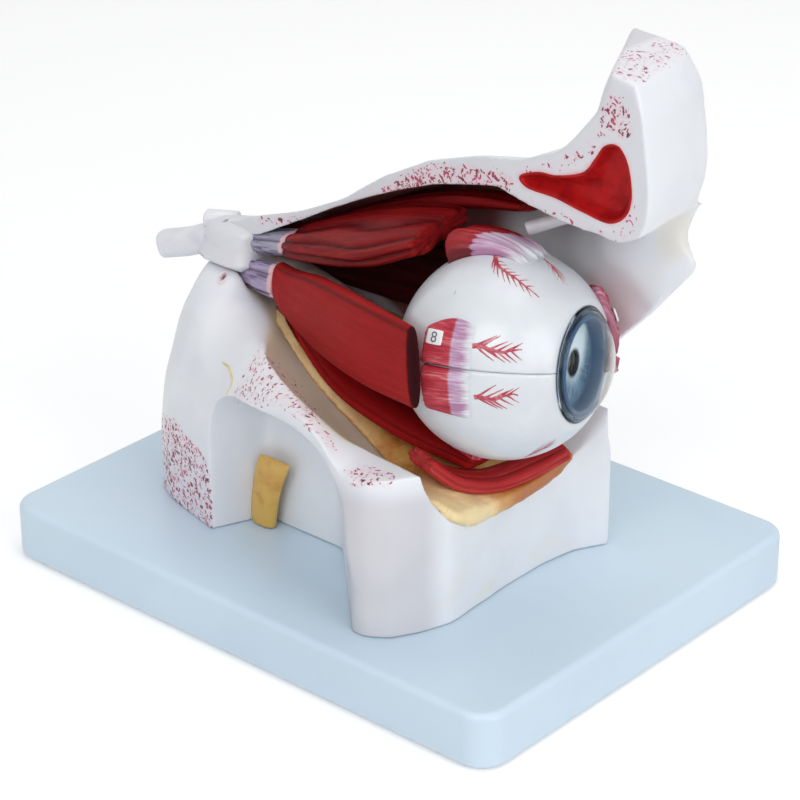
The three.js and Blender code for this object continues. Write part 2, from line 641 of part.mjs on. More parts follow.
function patchSolid(rows, ringAt) {
  const rings = rows.map(ringAt);
  const count = rings[0].length;
  const positions = rings.flat().flat();
  const half = count / 2;
  const faces = [];
  for (let r = 0; r + 1 < rings.length; r += 1) {
    for (let i = 0; i < count; i += 1) {
      const a = r * count + i;
      const b = r * count + (i + 1) % count;
      faces.push(a, b, b + count, a, b + count, a + count);
    }
  }
  [0, rings.length - 1].forEach((r, end) => {
    for (let i = 0; i + 1 < half; i += 1) {
      const quad = [i, i + 1, count - 2 - i, count - 1 - i].map((k) => k + r * count);
      const order = end === 0 ? [quad[0], quad[2], quad[1], quad[0], quad[3], quad[2]]
        : [quad[0], quad[1], quad[2], quad[0], quad[2], quad[3]];
      faces.push(...order);
    }
  });
  const geometry = new THREE.BufferGeometry();
  geometry.setAttribute('position', new THREE.Float32BufferAttribute(positions, 3));
  geometry.setIndex(faces);
  return toSolid(geometry);
}

// Patches: the middle's bearing, reach back and forward, low and high edge, lift at the back and front
const lateralPatch = insertion(-94.7, 18, 20, -26, 27, 3.4, 0.8);
const lateralSolid = patchSolid(lateralPatch.rows, lateralPatch.ringAt);
addPiece('lateral_insertion_upper', lateralSolid.intersect(upperHalf(gap / 2)), colours.insertion, eye);
addPiece('lateral_insertion_lower', lateralSolid.intersect(lowerHalf(-gap / 2)), colours.insertion, eye);
const medialPatch = insertion(67.3, 14, 32, -20, 26, 2.6, 1.6);
const medialSolid = patchSolid(medialPatch.rows, medialPatch.ringAt);
addPiece('medial_insertion_upper', medialSolid.intersect(upperHalf(gap / 2)), colours.insertion, eye);
addPiece('medial_insertion_lower', medialSolid.intersect(lowerHalf(-gap / 2)), colours.insertion, eye);
const superiorPatch = insertion(-90, 30, 20, -19, 16, 13, 0.8, true);
addPiece('superior_insertion', patchSolid(superiorPatch.rows, superiorPatch.ringAt), colours.insertion, eye);
const inferiorPatch = insertion(90, -8, 26, -16, 16, 2.2, 0.8, true);
addPiece('inferior_insertion', patchSolid(inferiorPatch.rows, inferiorPatch.ringAt), colours.insertion, eye);

// Points of the eyeball's frame as points of the part
const eyePoint = (x, y, z) => new THREE.Vector3(x, y, z).applyMatrix4(eye.matrixWorld).toArray();

const ballSpace = revolve([[-scleraRadius - gap, 0],
  ...arcPoints(scleraRadius + gap, -scleraRadius - gap, scleraRadius + gap, 20).slice(1, -1),
  [scleraRadius + gap, 0]], 40);
// The stub's face is flat above the seam, so that the upper half can lift past it
addPiece('optic_nerve_stub', barSolid([-nerveStubEnd, 0, 0], [nerveRadius - scleraRadius, 0, 0], nerveRadius)
  .subtract(ballSpace)
  .subtract(boxSolid(-scleraRadius - gap, 0, -nerveRadius - 1, nerveRadius + 1, -gap, nerveRadius + 1)),
colours.nerveWhite, eye);

function inWorld(solid) {
  const geometry = toGeometry(solid);
  geometry.applyMatrix4(eye.matrixWorld);
  return toSolid(geometry);
}
const ballSpaceWorld = inWorld(ballSpace);

// Optic nerve from the apex to the stub, and the tube that leaves the apex behind
const opticRows = [
  [-70.6, 2.5, 119.5, 8, 8, 0], [-56, 0.5, 119.4, 9, 9, 0], [-38, -5, 120.3, 10, 10, 0],
  [-8, -17, 121.5, 2 * nerveRadius, 2 * nerveRadius, 0],
  [...eyePoint(-nerveStubEnd, 0, 0), 2 * nerveRadius, 2 * nerveRadius, 0]];
addPiece('optic_nerve', strap(opticRows, 12).subtract(medialWall)
  .subtract(barSolid(eyePoint(-nerveStubEnd - gap, 0, 0), eyePoint(-scleraRadius, 0, 0), 14)),
colours.nerveWhite);
const canalRows = [
  [-126.5, -4.2, 111.9, 12, 12, 0], [-114, -3, 116, 12, 12, 0], [-103, -1.4, 120.6, 12.5, 12.5, 0],
  [-92, 0, 124.5, 15, 15, 0],
];
addPiece('optic_canal_tube', strap(canalRows).subtract(medialWall).subtract(frontalBone),
  colours.nerveWhite);
addPiece('artery_stub', barSolid([-89, 1, 130.6], [-103, -3, 129.6], 4.6, 4.2, 14)
  .subtract(strap(grown(canalRows, gap))).subtract(roofBlock).subtract(medialWall), colours.nerveWhite);

// Tendon stubs at the apex, each with the pin that its belly's slot drops over
const superiorStubRows = [
  [-71, -4.9, 129, 11.3, 9, 8], [-65, -5.6, 130.8, 12.6, 9.4, 8], [-57, -6.4, 133.2, 14, 9.8, 8],
  [-47, -7.7, 136.4, 15.4, 10, 8]];
const lateralStubRows = [
  [-80, -9, 112, 12, 7, 86], [-71, -10, 116.5, 12, 8, 86], [-61, -12, 118.2, 14.5, 9.5, 86],
  [-50, -14.2, 120.4, 15.8, 10, 86]];
const musclePull = [0, -0.98, 0.199];
const pinRadius = 1.6;
const pinStart = -58;
const pinEnd = -42;
const slotReach = 22;
// Where a stub ends and its belly begins
const superiorSeam = -48.4;
const lateralSeam = -51.4;
const beyond = (x) => boxSolid(x, x + 20, -50, 40, 90, 160);
const behind = (x) => boxSolid(x - 20, x, -50, 40, 90, 160);
const superiorPinAt = [-6.8, 135.2];
const lateralPinAt = [-14.5, 119.4];
const pinOf = ([y, z], grow) => barSolid([pinStart - grow, y, z], [pinEnd + grow, y, z], pinRadius + grow,
  pinRadius + grow, 14);

// The slot in a belly, open on the side that the belly leaves behind when it is drawn off
function pinSlot([y, z], pull) {
  const width = 2 * (pinRadius + pinClearance);
  const slot = new THREE.BoxGeometry(pinEnd - pinStart + 2, slotReach, width);
  slot.translate(0, slotReach / 2, 0);
  slot.rotateX(Math.atan2(-pull[2], -pull[1]));
  slot.translate((pinStart + pinEnd) / 2, y, z);
  return toSolid(slot).add(barSolid([pinStart - 1, y, z], [pinEnd + 1, y, z], width / 2, width / 2, 14));
}

const superiorStub = strap(superiorStubRows).subtract(medialWall).subtract(frontalBone)
  .subtract(beyond(superiorSeam));
const lateralStub = strap(lateralStubRows).subtract(medialWall).subtract(beyond(lateralSeam));
addPiece('superior_tendon_stub', superiorStub.subtract(pinOf(superiorPinAt, gap)), colours.tendon);
addPiece('lateral_tendon_stub', lateralStub.subtract(pinOf(lateralPinAt, gap)), colours.tendon);
addPiece('superior_pin', pinOf(superiorPinAt, 0), colours.metal);
addPiece('lateral_pin', pinOf(lateralPinAt, 0), colours.metal);

// The room that a solid takes while its neighbour is drawn off along the pull
function drawnAlong(solid, pull, reach) {
  return wasm.Manifold.hull([solid, solid.translate(pull.map((share) => -share * reach))]);
}

const muscleSides = 16;
const lateralRows = [
  [-54, -13, 120.3, 16.6, 10.2, 86], [-40, -18.2, 119.4, 21, 11.5, 86], [-12, -31, 122.8, 31, 12, 88],
  [28, -49.5, 129.8, 34, 11, 88], [58.5, -62, 135.6, 32, 7, 88],
];
const superiorRows = [
  [-51, -7.2, 135.3, 16, 10.4, 8], [-38, -9.2, 140.4, 21.5, 11.2, 15], [-12, -12, 150, 29, 12, 20],
  [14, -14, 160.5, 33, 11.5, 19], [36, -15, 169, 31, 9.5, 9],
];
addPiece('lateral_rectus', strap(lateralRows, muscleSides).subtract(ballSpaceWorld)
  .subtract(behind(lateralSeam + gap))
  .subtract(pinSlot(lateralPinAt, musclePull)), colours.muscle);
// The superior and the inferior belly stop at the patches that take them over
const superiorTaker = insertion(-90, 30.5, 20, -19.5, 16.5, 13.6, 1.2, true, 0);
addPiece('superior_rectus', strap(superiorRows, muscleSides).subtract(ballSpaceWorld)
  .subtract(drawnAlong(inWorld(patchSolid(superiorTaker.rows, superiorTaker.ringAt)), musclePull, 30))
  .subtract(behind(superiorSeam + gap))
  .subtract(pinSlot(superiorPinAt, musclePull)), colours.muscle);
const medialRows = [
  [-70.6, 9.4, 119, 10, 4.6, 90], [-50, 14, 121, 18, 6, 90], [-10, 21, 123.5, 28, 6.5, 90],
  [24, 24.4, 125, 31, 6, 90], [50, 26.2, 127, 30, 5, 90]];
addPiece('medial_rectus', strap(medialRows, 14).subtract(medialWall).subtract(ballSpaceWorld),
  colours.muscle);
const inferiorRows = [
  [-72, 3, 111, 8, 4.6, 0], [-48, -2, 105.2, 22, 8, 0], [0, -14, 93.5, 40, 8.5, 0],
  [30, -16.5, 86.6, 39, 8.5, 0],
  [50, -18, 81.8, 27, 8, 0], [62, -18, 79.6, 22, 7, 0],
];
const inferiorTaker = insertion(90, -7.5, 26.5, -16.5, 16.5, 2.6, 1.2, true, 0);
addPiece('inferior_rectus', strap(inferiorRows).subtract(medialWall).subtract(ballSpaceWorld)
  .subtract(inWorld(patchSolid(inferiorTaker.rows, inferiorTaker.ringAt))), colours.muscle);
addPiece('levator', strap([
  [-70.6, 5.4, 130.2, 5, 3.2, -10], [-44, 9, 139.6, 12, 5, -14], [-10, 12, 154.2, 17, 6, -16],
  [28, 12, 168.4, 18, 6, -14], [60, 12, 175.8, 18, 4, -12]], 14)
  .subtract(frontalBone).subtract(medialWall).subtract(strap(grown(superiorStubRows, gap))), colours.muscle);
const obliqueRows = [
  [76, 15, 74.6, 10, 6, 0], [70, 0, 71.4, 14, 6.4, 0], [65, -20, 71.3, 17, 6.4, 0],
  [60, -37, 77.6, 19, 7, 0],
  [56, -50, 89.5, 18, 6.5, 0],
];
addPiece('inferior_oblique', strap(obliqueRows).subtract(ballSpaceWorld), colours.muscle);
addPiece('orbital_fat', fatBlock.subtract(strap(grown(obliqueRows, gap)))
  .subtract(strap(grown(inferiorRows, gap))), colours.fat);

// Superior oblique: its tendon runs from the pulley at the roof's inner corner
const tendonFoot = [60, 7, 167.6];
const tendonHead = [80, 25, 177];
const obliqueRadius = 2.8;
addPiece('superior_oblique_tendon', barSolid(tendonFoot, tendonHead, obliqueRadius, obliqueRadius, 14)
  .subtract(frontalBone), colours.nerveWhite);

for (const [x, y] of screwPlaces) lowerBone = lowerBone.subtract(screwSolid(x, y, pinClearance));
for (const rows of [lateralStubRows, opticRows, medialRows, inferiorRows, canalRows]) {
  lowerBone = lowerBone.subtract(strap(grown(rows, gap)));
}
addPiece('lower_orbit_bone', lowerBone, colours.bone);

export default part;
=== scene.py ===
import math

import bpy
import numpy as np
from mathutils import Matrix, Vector, noise
from mathutils.bvhtree import BVHTree


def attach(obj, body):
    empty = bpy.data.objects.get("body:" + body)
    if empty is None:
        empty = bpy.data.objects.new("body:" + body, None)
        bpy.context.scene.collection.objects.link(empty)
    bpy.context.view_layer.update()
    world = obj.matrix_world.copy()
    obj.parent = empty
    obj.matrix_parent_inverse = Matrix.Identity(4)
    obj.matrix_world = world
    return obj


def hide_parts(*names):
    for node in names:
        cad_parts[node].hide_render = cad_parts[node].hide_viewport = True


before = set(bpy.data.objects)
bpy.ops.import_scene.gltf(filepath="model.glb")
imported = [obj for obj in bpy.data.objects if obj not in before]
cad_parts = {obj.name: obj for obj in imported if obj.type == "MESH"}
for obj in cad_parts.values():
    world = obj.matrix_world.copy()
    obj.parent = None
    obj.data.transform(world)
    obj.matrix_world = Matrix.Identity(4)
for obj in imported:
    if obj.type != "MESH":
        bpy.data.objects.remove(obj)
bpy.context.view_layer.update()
scene = bpy.context.scene
mm = 0.001  # shapes are worked out in millimetres and turned to metres in makePiece


# Where things are, in millimetres, as in the solids
eye = {
    "centre": (70, -17, 127), "yaw": 12.5, "pitch": 4.6, "roll": -14.5,
    "radius": 41, "wall": 4, "frontPlane": 32.6,
    "choroidOuter": 36.3, "choroidWall": 2, "choroidFront": 27.4, "vitreousRadius": 33.6,
    "seamGap": 0.15, "seamRound": 0.4,
    "irisRadius": 19.2, "irisThickness": 1.6, "pupilRadius": 4.7, "cupRadius": 17, "cupFloor": 29.3,
    "corneaRadius": 22.6, "corneaApex": 43.6, "corneaWall": 2,
    "lensRadius": 13, "lensThickness": 10, "lensPlane": 23.4,
    "pegRadius": 1.1, "pegHeight": 6, "pegBearing": 118, "touch": 0.3,
}
orbit = {"boardTop": 24.5, "roofCut": -10, "boneTop": 24.8}


# Mesh helpers

def turnAbout(axis, degrees):
    c, s = math.cos(math.radians(degrees)), math.sin(math.radians(degrees))
    rows = {"x": ((1, 0, 0), (0, c, -s), (0, s, c)), "y": ((c, 0, s), (0, 1, 0), (-s, 0, c)),
            "z": ((c, -s, 0), (s, c, 0), (0, 0, 1))}
    return np.array(rows[axis], float)


eyeTurn = turnAbout("z", eye["yaw"]) @ turnAbout("y", -eye["pitch"]) @ turnAbout("x", eye["roll"])


def fromEye(points):
    return np.asarray(points, float) @ eyeTurn.T + np.array(eye["centre"], float)


def unit(vectors):
    vectors = np.asarray(vectors, float)
    return vectors / (np.linalg.norm(vectors, axis=-1, keepdims=True) + 1e-12)


def smoothStep(low, high, value):
    t = np.clip((np.asarray(value, float) - low) / (high - low), 0, 1)
    return t * t * (3 - 2 * t)


def gridFaces(rows, columns, closed=True):
    r = np.arange(rows - 1)[:, None] * columns
    c = np.arange(columns if closed else columns - 1)[None]
    n = (c + 1) % columns
    return np.stack([r + c, r + n, r + columns + n, r + columns + c], -1).reshape(-1, 4)


# Faces turned so that they point out of a closed skin
def facingOut(points, faces):
    volume = 0.0
    for face in faces:
        a = points[face[0]]
        for k in range(1, len(face) - 1):
            volume += np.dot(a, np.cross(points[face[k]], points[face[k + 1]]))
    return [tuple(face[::-1]) for face in faces] if volume < 0 else [tuple(face) for face in faces]


# Rings of equally many points, skinned and closed by fans at both ends
def ringSkin(rings):
    rings = np.asarray(rings, float)
    rows, columns = rings.shape[:2]
    points = np.concatenate([rings.reshape(-1, 3), [rings[0].mean(0), rings[-1].mean(0)]])
    faces = [tuple(f) for f in gridFaces(rows, columns).tolist()]
    start, end, base = rows * columns, rows * columns + 1, (rows - 1) * columns
    for c in range(columns):
        n = (c + 1) % columns
        faces.append((start, n, c))
        faces.append((end, base + c, base + n))
    return points, facingOut(points, faces)


# A closed profile, or one that starts and ends on the axis, turned about X
def latheSkin(profile, steps):
    profile = np.asarray(profile, float)
    turn = np.linspace(0, 2 * math.pi, steps, endpoint=False)
    x = np.repeat(profile[:, :1], steps, 1)
    rings = np.stack([x, profile[:, 1:] * np.cos(turn), profile[:, 1:] * np.sin(turn)], -1)
    closed = np.allclose(profile[0], profile[-1])
    if closed:
        rings = rings[:-1]
    rows = len(rings)
    points = rings.reshape(-1, 3)
    faces = [tuple(f) for f in gridFaces(rows, steps).tolist()]
    if closed:
        last = (rows - 1) * steps
        faces += [(last + c, last + (c + 1) % steps, (c + 1) % steps, c) for c in range(steps)]
    return points, facingOut(points, faces)


def makeObject(name, points, faces, material, attributes=None):
    mesh = bpy.data.meshes.new(name)
    mesh.from_pydata((np.asarray(points, float) * mm).tolist(), [], [tuple(map(int, f)) for f in faces])
    for key, values in (attributes or {}).items():
        values = np.asarray(values, np.float32)
        if values.ndim == 1:
            mesh.attributes.new(key, "FLOAT", "POINT").data.foreach_set("value", values)
        else:
            mesh.attributes.new(key, "FLOAT_VECTOR", "POINT").data.foreach_set("vector", values.ravel())
    mesh.validate()
    mesh.polygons.foreach_set("use_smooth", np.ones(len(mesh.polygons), bool))
    mesh.materials.append(material)
    piece = bpy.data.objects.new(name, mesh)
    scene.collection.objects.link(piece)
    return piece


# Joins doubled points and drops the empty faces that they leave
def weld(piece, distance=0.004):
    doubles = piece.modifiers.new("weld", "WELD")
    doubles.merge_threshold = distance * mm
    applyModifiers(piece)


def applyModifiers(piece):
    bpy.context.view_layer.update()
    seen = piece.evaluated_get(bpy.context.evaluated_depsgraph_get())
    mesh = bpy.data.meshes.new_from_object(seen)
    piece.modifiers.clear()
    piece.data = mesh
    mesh.polygons.foreach_set("use_smooth", np.ones(len(mesh.polygons), bool))


def cutAway(piece, cutters):
    for points, faces in cutters:
        tool = makeObject("cutter", points, faces, piece.data.materials[0])
        cut = piece.modifiers.new("cut", "BOOLEAN")
        cut.operation, cut.solver, cut.object = "DIFFERENCE", "EXACT", tool
        cut.use_self = True
        applyModifiers(piece)
        bpy.data.objects.remove(tool)


def settle(piece, body, slot, *nodes):
    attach(piece, body)
    if nodes:
        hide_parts(*nodes)
    return piece


def makePiece(name, skin, material, body, slot, *nodes, attributes=None, joined=False):
    piece = makeObject(name, *skin, material, attributes)
    if joined:
        weld(piece)
    return settle(piece, body, slot, *nodes)


# A bar between two points with softly rounded ends; profile rows are share of length and radius
def barSkin(start, end, profile, steps=32):
    start, end = np.array(start, float), np.array(end, float)
    ahead = unit(end - start)
    aside = unit(np.cross(ahead, (0.3, 0.2, 1)))
    over = np.cross(ahead, aside)
    turn = np.linspace(0, 2 * math.pi, steps, endpoint=False)[:, None]
    around = np.cos(turn) * aside + np.sin(turn) * over
    return ringSkin([start + (end - start) * share + around * radius for share, radius in profile])


def roundedBar(start, end, radius, edge, steps=32):
    length = np.linalg.norm(np.array(end, float) - np.array(start, float))
    bend = np.linspace(0, math.pi / 2, 5)
    head = [(edge * (1 - math.sin(b)) / length, radius - edge * (1 - math.cos(b))) for b in bend[::-1]]
    tail = [(1 - share, r) for share, r in head[::-1]]
    return barSkin(start, end, [*head, *tail], steps)


# Curves that the solids use too: points through a path, and values between the rows of a table

def pathPoint(points, t):
    last = len(points) - 1
    place = min(max(t, 0), 1) * last
    k = min(int(place), last - 1)
    w = place - k
    b, c = points[k], points[k + 1]
    a = points[k - 1] if k > 0 else 2 * b - c
    d = points[k + 2] if k + 2 <= last else 2 * c - b
    spans = [max(np.linalg.norm(p - q), 1e-4) ** 0.5 for p, q in ((b, a), (c, b), (d, c))]
    leave = ((b - a) / spans[0] - (c - a) / (spans[0] + spans[1]) + (c - b) / spans[1]) * spans[1]
    reach = ((c - b) / spans[1] - (d - b) / (spans[1] + spans[2]) + (d - c) / spans[2]) * spans[1]
    h = 2 * w ** 3 - 3 * w ** 2
    return b * (h + 1) + leave * (w ** 3 - 2 * w ** 2 + w) - c * h + reach * (w ** 3 - w ** 2)


def rowAt(table, station):
    last = len(table) - 1
    at = min(max(station, table[0][0]), table[last][0])
    k = 0
    while k < last - 1 and table[k + 1][0] < at:
        k += 1
    p, q = np.array(table[k], float), np.array(table[k + 1], float)
    span = q[0] - p[0]
    t = (at - p[0]) / span
    slopeIn = (q - table[k - 1]) / (q[0] - table[k - 1][0]) if k > 0 else (q - p) / span
    slopeOut = (np.array(table[k + 2]) - p) / (table[k + 2][0] - p[0]) if k + 2 <= last else (q - p) / span
    h = 2 * t ** 3 - 3 * t ** 2 + 1
    slopes = (t ** 3 - 2 * t ** 2 + t) * slopeIn + (t ** 3 - t ** 2) * slopeOut
    return (h * p + (1 - h) * q + slopes * span)[1:]


def noiseAt(points, size, seed=0.0):
    return np.array([noise.noise(Vector((p[0] / size + seed, p[1] / size, p[2] / size))) for p in points])


# Materials

def paint(red, green, blue):
    steps = [c / 255 for c in (red, green, blue)]
    return (*[c / 12.92 if c <= 0.04045 else ((c + 0.055) / 1.055) ** 2.4 for c in steps], 1.0)


# Inputs are given by name or number; a socket is linked and anything else is set as the value
def addNode(tree, kind, inputs=None, **settings):
    node = tree.nodes.new("ShaderNode" + kind)
    for key, value in settings.items():
        setattr(node, key, value)
    for key, value in (inputs or {}).items():
        if isinstance(value, bpy.types.NodeSocket):
            tree.links.new(value, node.inputs[key])
        else:
            node.inputs[key].default_value = value
    return node


def startGroup(name, inputs, outputs):
    tree = bpy.data.node_groups.new(name, "ShaderNodeTree")
    for label, kind in inputs.items():
        tree.interface.new_socket(label, in_out="INPUT", socket_type="NodeSocket" + kind)
    for label, kind in outputs.items():
        tree.interface.new_socket(label, in_out="OUTPUT", socket_type="NodeSocket" + kind)
    source = tree.nodes.new("NodeGroupInput")
    sink = tree.nodes.new("NodeGroupOutput")
    return tree, source.outputs, sink.inputs


def mathNode(tree, operation, first, second=0.5, clamp=False):
    return addNode(tree, "Math", {0: first, 1: second}, operation=operation, use_clamp=clamp).outputs[0]


def vectorMath(tree, operation, first, second):
    return addNode(tree, "VectorMath", {0: first, 1: second}, operation=operation).outputs[0]


def mixColour(tree, factor, first, second):  # 6, 7 and 2 are the colour sockets of a Mix node
    return addNode(tree, "Mix", {"Factor": factor, 6: first, 7: second}, data_type="RGBA").outputs[2]


def spread(tree, value, low, high, newLow=0.0, newHigh=1.0):
    return addNode(tree, "MapRange", {"Value": value, "From Min": low, "From Max": high,
                                      "To Min": newLow, "To Max": newHigh},
                   interpolation_type="SMOOTHSTEP").outputs["Result"]


def noiseNode(tree, where, scale, detail=3.0, rough=0.5, distortion=0.0):
    return addNode(tree, "TexNoise", {"Vector": where, "Scale": scale, "Detail": detail,
                                      "Roughness": rough, "Distortion": distortion}).outputs["Fac"]


# Soft patches of a second shade, and the fine uneven skin of a painted casting
def buildCastSkin():
    tree, given, out = startGroup(
        "castSkin", {"Colour": "Color", "Shade": "Color", "Patch": "Float", "Amount": "Float"},
        {"Colour": "Color", "Roughness": "Float", "Height": "Float"})
    where = addNode(tree, "TexCoord").outputs["Object"]
    patch = noiseNode(tree, where, given["Patch"], 3, 0.55, 0.4)
    mask = mathNode(tree, "MULTIPLY", spread(tree, patch, 0.42, 0.68), given["Amount"])
    tree.links.new(mixColour(tree, mask, given["Colour"], given["Shade"]), out["Colour"])
    tree.links.new(spread(tree, patch, 0.3, 0.7, 0.3, 0.42), out["Roughness"])
    wave = noiseNode(tree, where, 140, 2)
    fine = noiseNode(tree, where, 900, 3, 0.6)
    tree.links.new(mathNode(tree, "ADD", wave, mathNode(tree, "MULTIPLY", fine, 0.25)), out["Height"])
    return tree


# Short red strokes in two directions that stand for the marrow of cut bone; Amount is how thick they lie
def buildMarrowDabs():
    tree, given, out = startGroup(
        "marrowDabs", {"Colour": "Color", "Dab": "Color", "Deep": "Color", "Halo": "Color",
                       "Amount": "Float", "Size": "Float"},
        {"Colour": "Color", "Height": "Float"})
    where = addNode(tree, "TexCoord").outputs["Object"]
    drift = addNode(tree, "TexNoise", {"Vector": where, "Scale": 260.0, "Detail": 2.0}).outputs["Color"]
    bent = vectorMath(tree, "SUBTRACT", drift, (0.5, 0.5, 0.5))
    bent = addNode(tree, "VectorMath", {0: bent, "Scale": 0.0052}, operation="SCALE").outputs[0]
    where = vectorMath(tree, "ADD", where, bent)
    masks, halos = [], []
    for share, wide, lean in ((1.0, 0.36, 0.7), (1.5, 0.34, -0.6)):
        turned = addNode(tree, "VectorRotate", {"Vector": where, "Axis": (0, 1, 0), "Angle": lean},
                         rotation_type="AXIS_ANGLE").outputs[0]
        turned = vectorMath(tree, "MULTIPLY", turned, (1.0, 0.8, 0.5))
        cells = addNode(tree, "TexVoronoi", {"Vector": turned, "Randomness": 1.0,
                                            "Scale": mathNode(tree, "MULTIPLY", given["Size"], share)})
        chance = addNode(tree, "SeparateColor", {"Color": cells.outputs["Color"]}).outputs[0]
        here = mathNode(tree, "LESS_THAN", chance, given["Amount"])
        reach = mathNode(tree, "ADD", mathNode(tree, "MULTIPLY", given["Amount"], 0.12), wide - 0.08)
        room = mathNode(tree, "SUBTRACT", reach, cells.outputs["Distance"])
        masks.append(mathNode(tree, "MULTIPLY", here, spread(tree, room, 0.0, 0.1)))
        halos.append(mathNode(tree, "MULTIPLY", here, spread(tree, room, -0.3, 0.05)))
    mask = mathNode(tree, "MAXIMUM", *masks)
    halo = mathNode(tree, "MAXIMUM", *halos)
    veil = mathNode(tree, "ADD", mathNode(tree, "MULTIPLY", halo, 0.6),
                    mathNode(tree, "MULTIPLY", given["Amount"], 0.25), clamp=True)
    tone = mixColour(tree, veil, given["Colour"], given["Halo"])
    shades = spread(tree, noiseNode(tree, where, 150, 2), 0.38, 0.6)
    dab = mixColour(tree, shades, given["Dab"], given["Deep"])
    tree.links.new(mixColour(tree, mask, tone, dab), out["Colour"])
    tree.links.new(mask, out["Height"])
    return tree


# Streaks that run along a muscle; the piece's own grain attribute carries the direction
def buildFibres():
    tree, given, out = startGroup(
        "fibres", {"Light": "Color", "Colour": "Color", "Dark": "Color", "Fine": "Float",
                   "Contrast": "Float"},
        {"Colour": "Color", "Mask": "Float", "Height": "Float"})
    grain = addNode(tree, "Attribute", attribute_name="grain").outputs["Vector"]
    groove = addNode(tree, "Attribute", attribute_name="groove").outputs["Fac"]
    broad = noiseNode(tree, grain, 0.35, 2, 0.5)
    fine = noiseNode(tree, grain, given["Fine"], 3, 0.6)
    both = mathNode(tree, "ADD", *[mathNode(tree, "MULTIPLY", one, 0.5) for one in (broad, fine)])
    lift = mathNode(tree, "MULTIPLY", spread(tree, both, 0.5, 0.68), given["Contrast"])
    sink = mathNode(tree, "MULTIPLY", spread(tree, both, 0.5, 0.34), given["Contrast"])
    tone = mixColour(tree, lift, given["Colour"], given["Light"])
    tone = mixColour(tree, sink, tone, given["Dark"])
    # painted shade in the grooves between bundles, and on the insertions' furrows, cleft and edges
    tone = mixColour(tree, groove, tone, given["Dark"])
    tree.links.new(tone, out["Colour"])
    tree.links.new(both, out["Mask"])
    tree.links.new(fine, out["Height"])
    return tree


groups = {"castSkin": buildCastSkin(), "marrowDabs": buildMarrowDabs(), "fibres": buildFibres()}
print("node groups ready")


def startMaterial(name):
    material = bpy.data.materials.new(name)
    material.use_nodes = True
    tree = material.node_tree
    return material, tree, tree.nodes["Principled BSDF"].inputs


def placeGroup(tree, name, inputs):
    return addNode(tree, "Group", inputs, node_tree=groups[name]).outputs


def placeCastSkin(tree, look):
    return placeGroup(tree, "castSkin", {"Colour": look["colour"], "Shade": look["shade"],
                                         "Patch": look["patch"], "Amount": look["amount"]})


def bumpInto(tree, shader, height, distance, strength=1.0):
    bump = addNode(tree, "Bump", {"Height": height, "Distance": distance, "Strength": strength})
    tree.links.new(bump.outputs["Normal"], shader["Normal"])


def painted(tree, name):
    return addNode(tree, "Attribute", attribute_name=name).outputs["Fac"]


def castMaterial(name, look):
    material, tree, shader = startMaterial(name)
    skin = placeCastSkin(tree, look)
    tree.links.new(skin["Colour"], shader["Base Color"])
    tree.links.new(skin["Roughness"], shader["Roughness"])
    bumpInto(tree, shader, skin["Height"], look["bump"])
    shader["Specular IOR Level"].default_value = look.get("shine", 0.5)
    shader["Coat Weight"].default_value = look.get("coat", 0.0)
    shader["Coat Roughness"].default_value = 0.25
    return material


# Bone: white casting, warm, pink and grey where its attributes say so, the grey partly painted shade, dark
# as painted shadow in the apex's seam and pit, dark red paint with painted shade in the cavity and the
# foramen, and red marrow where it is cut
def boneMaterial(look):
    material, tree, shader = startMaterial("paintedBone")
    skin = placeCastSkin(tree, look)
    tone = skin["Colour"]
    for mask, paintOver in (("warm", "warm"), ("grey", "grey"), ("pink", "pink"), ("dark", "dark"),
                            ("deep", "cavityRedShade")):
        tone = mixColour(tree, painted(tree, mask), tone, look[paintOver])
    marrow = placeGroup(tree, "marrowDabs", {
        "Colour": tone, "Dab": look["dab"], "Deep": look["deep"], "Halo": look["halo"],
        "Amount": painted(tree, "cut"), "Size": look["dabSize"]})
    tree.links.new(marrow["Colour"], shader["Base Color"])
    tree.links.new(skin["Roughness"], shader["Roughness"])
    height = mathNode(tree, "ADD", skin["Height"], mathNode(tree, "MULTIPLY", marrow["Height"], -0.5))
    bumpInto(tree, shader, height, look["bump"])
    shader["Coat Weight"].default_value = 0.12
    shader["Coat Roughness"].default_value = 0.3
    return material


def muscleMaterial(name, look):
    material, tree, shader = startMaterial(name)
    fibre = placeGroup(tree, "fibres", {"Light": look["light"], "Colour": look["colour"],
                                        "Dark": look["dark"], "Fine": look["fine"],
                                        "Contrast": look["contrast"]})
    tone = fibre["Colour"]
    if "tendon" in look:  # the paint turns into the tendon's and the sclera's where fade grows
        fade = painted(tree, "fade")
        lilac = mixColour(tree, spread(tree, fibre["Mask"], 0.4, 0.62), look["tendonDark"], look["tendon"])
        lilac = mixColour(tree, painted(tree, "groove"), lilac, look["tendonDark"])
        turned, ended = [mathNode(tree, "ADD", fade, mathNode(tree, "MULTIPLY", fibre["Mask"], ragged))
                         for ragged in look["ragged"]]
        low, high = look["ragged"][0] * 0.5, look["ragged"][1] * 0.5
        tone = mixColour(tree, spread(tree, turned, low + 0.47, low + 0.53), tone, lilac)
        tone = mixColour(tree, spread(tree, ended, high + 0.72, high + 0.96), tone, look["end"])
    # painted shade on the muscles' ends and edges, and a painted highlight on the tendon stubs' cut ends
    if "stain" in look:
        tone = mixColour(tree, painted(tree, "stain"), tone, look["stain"])
    tree.links.new(tone, shader["Base Color"])
    shader["Specular IOR Level"].default_value = look.get("shine", 0.3)
    shader["Roughness"].default_value = look["roughness"]
    bumpInto(tree, shader, fibre["Height"], look["bump"])
    shader["Coat Weight"].default_value = look["coat"]
    shader["Coat Roughness"].default_value = 0.2
    return material


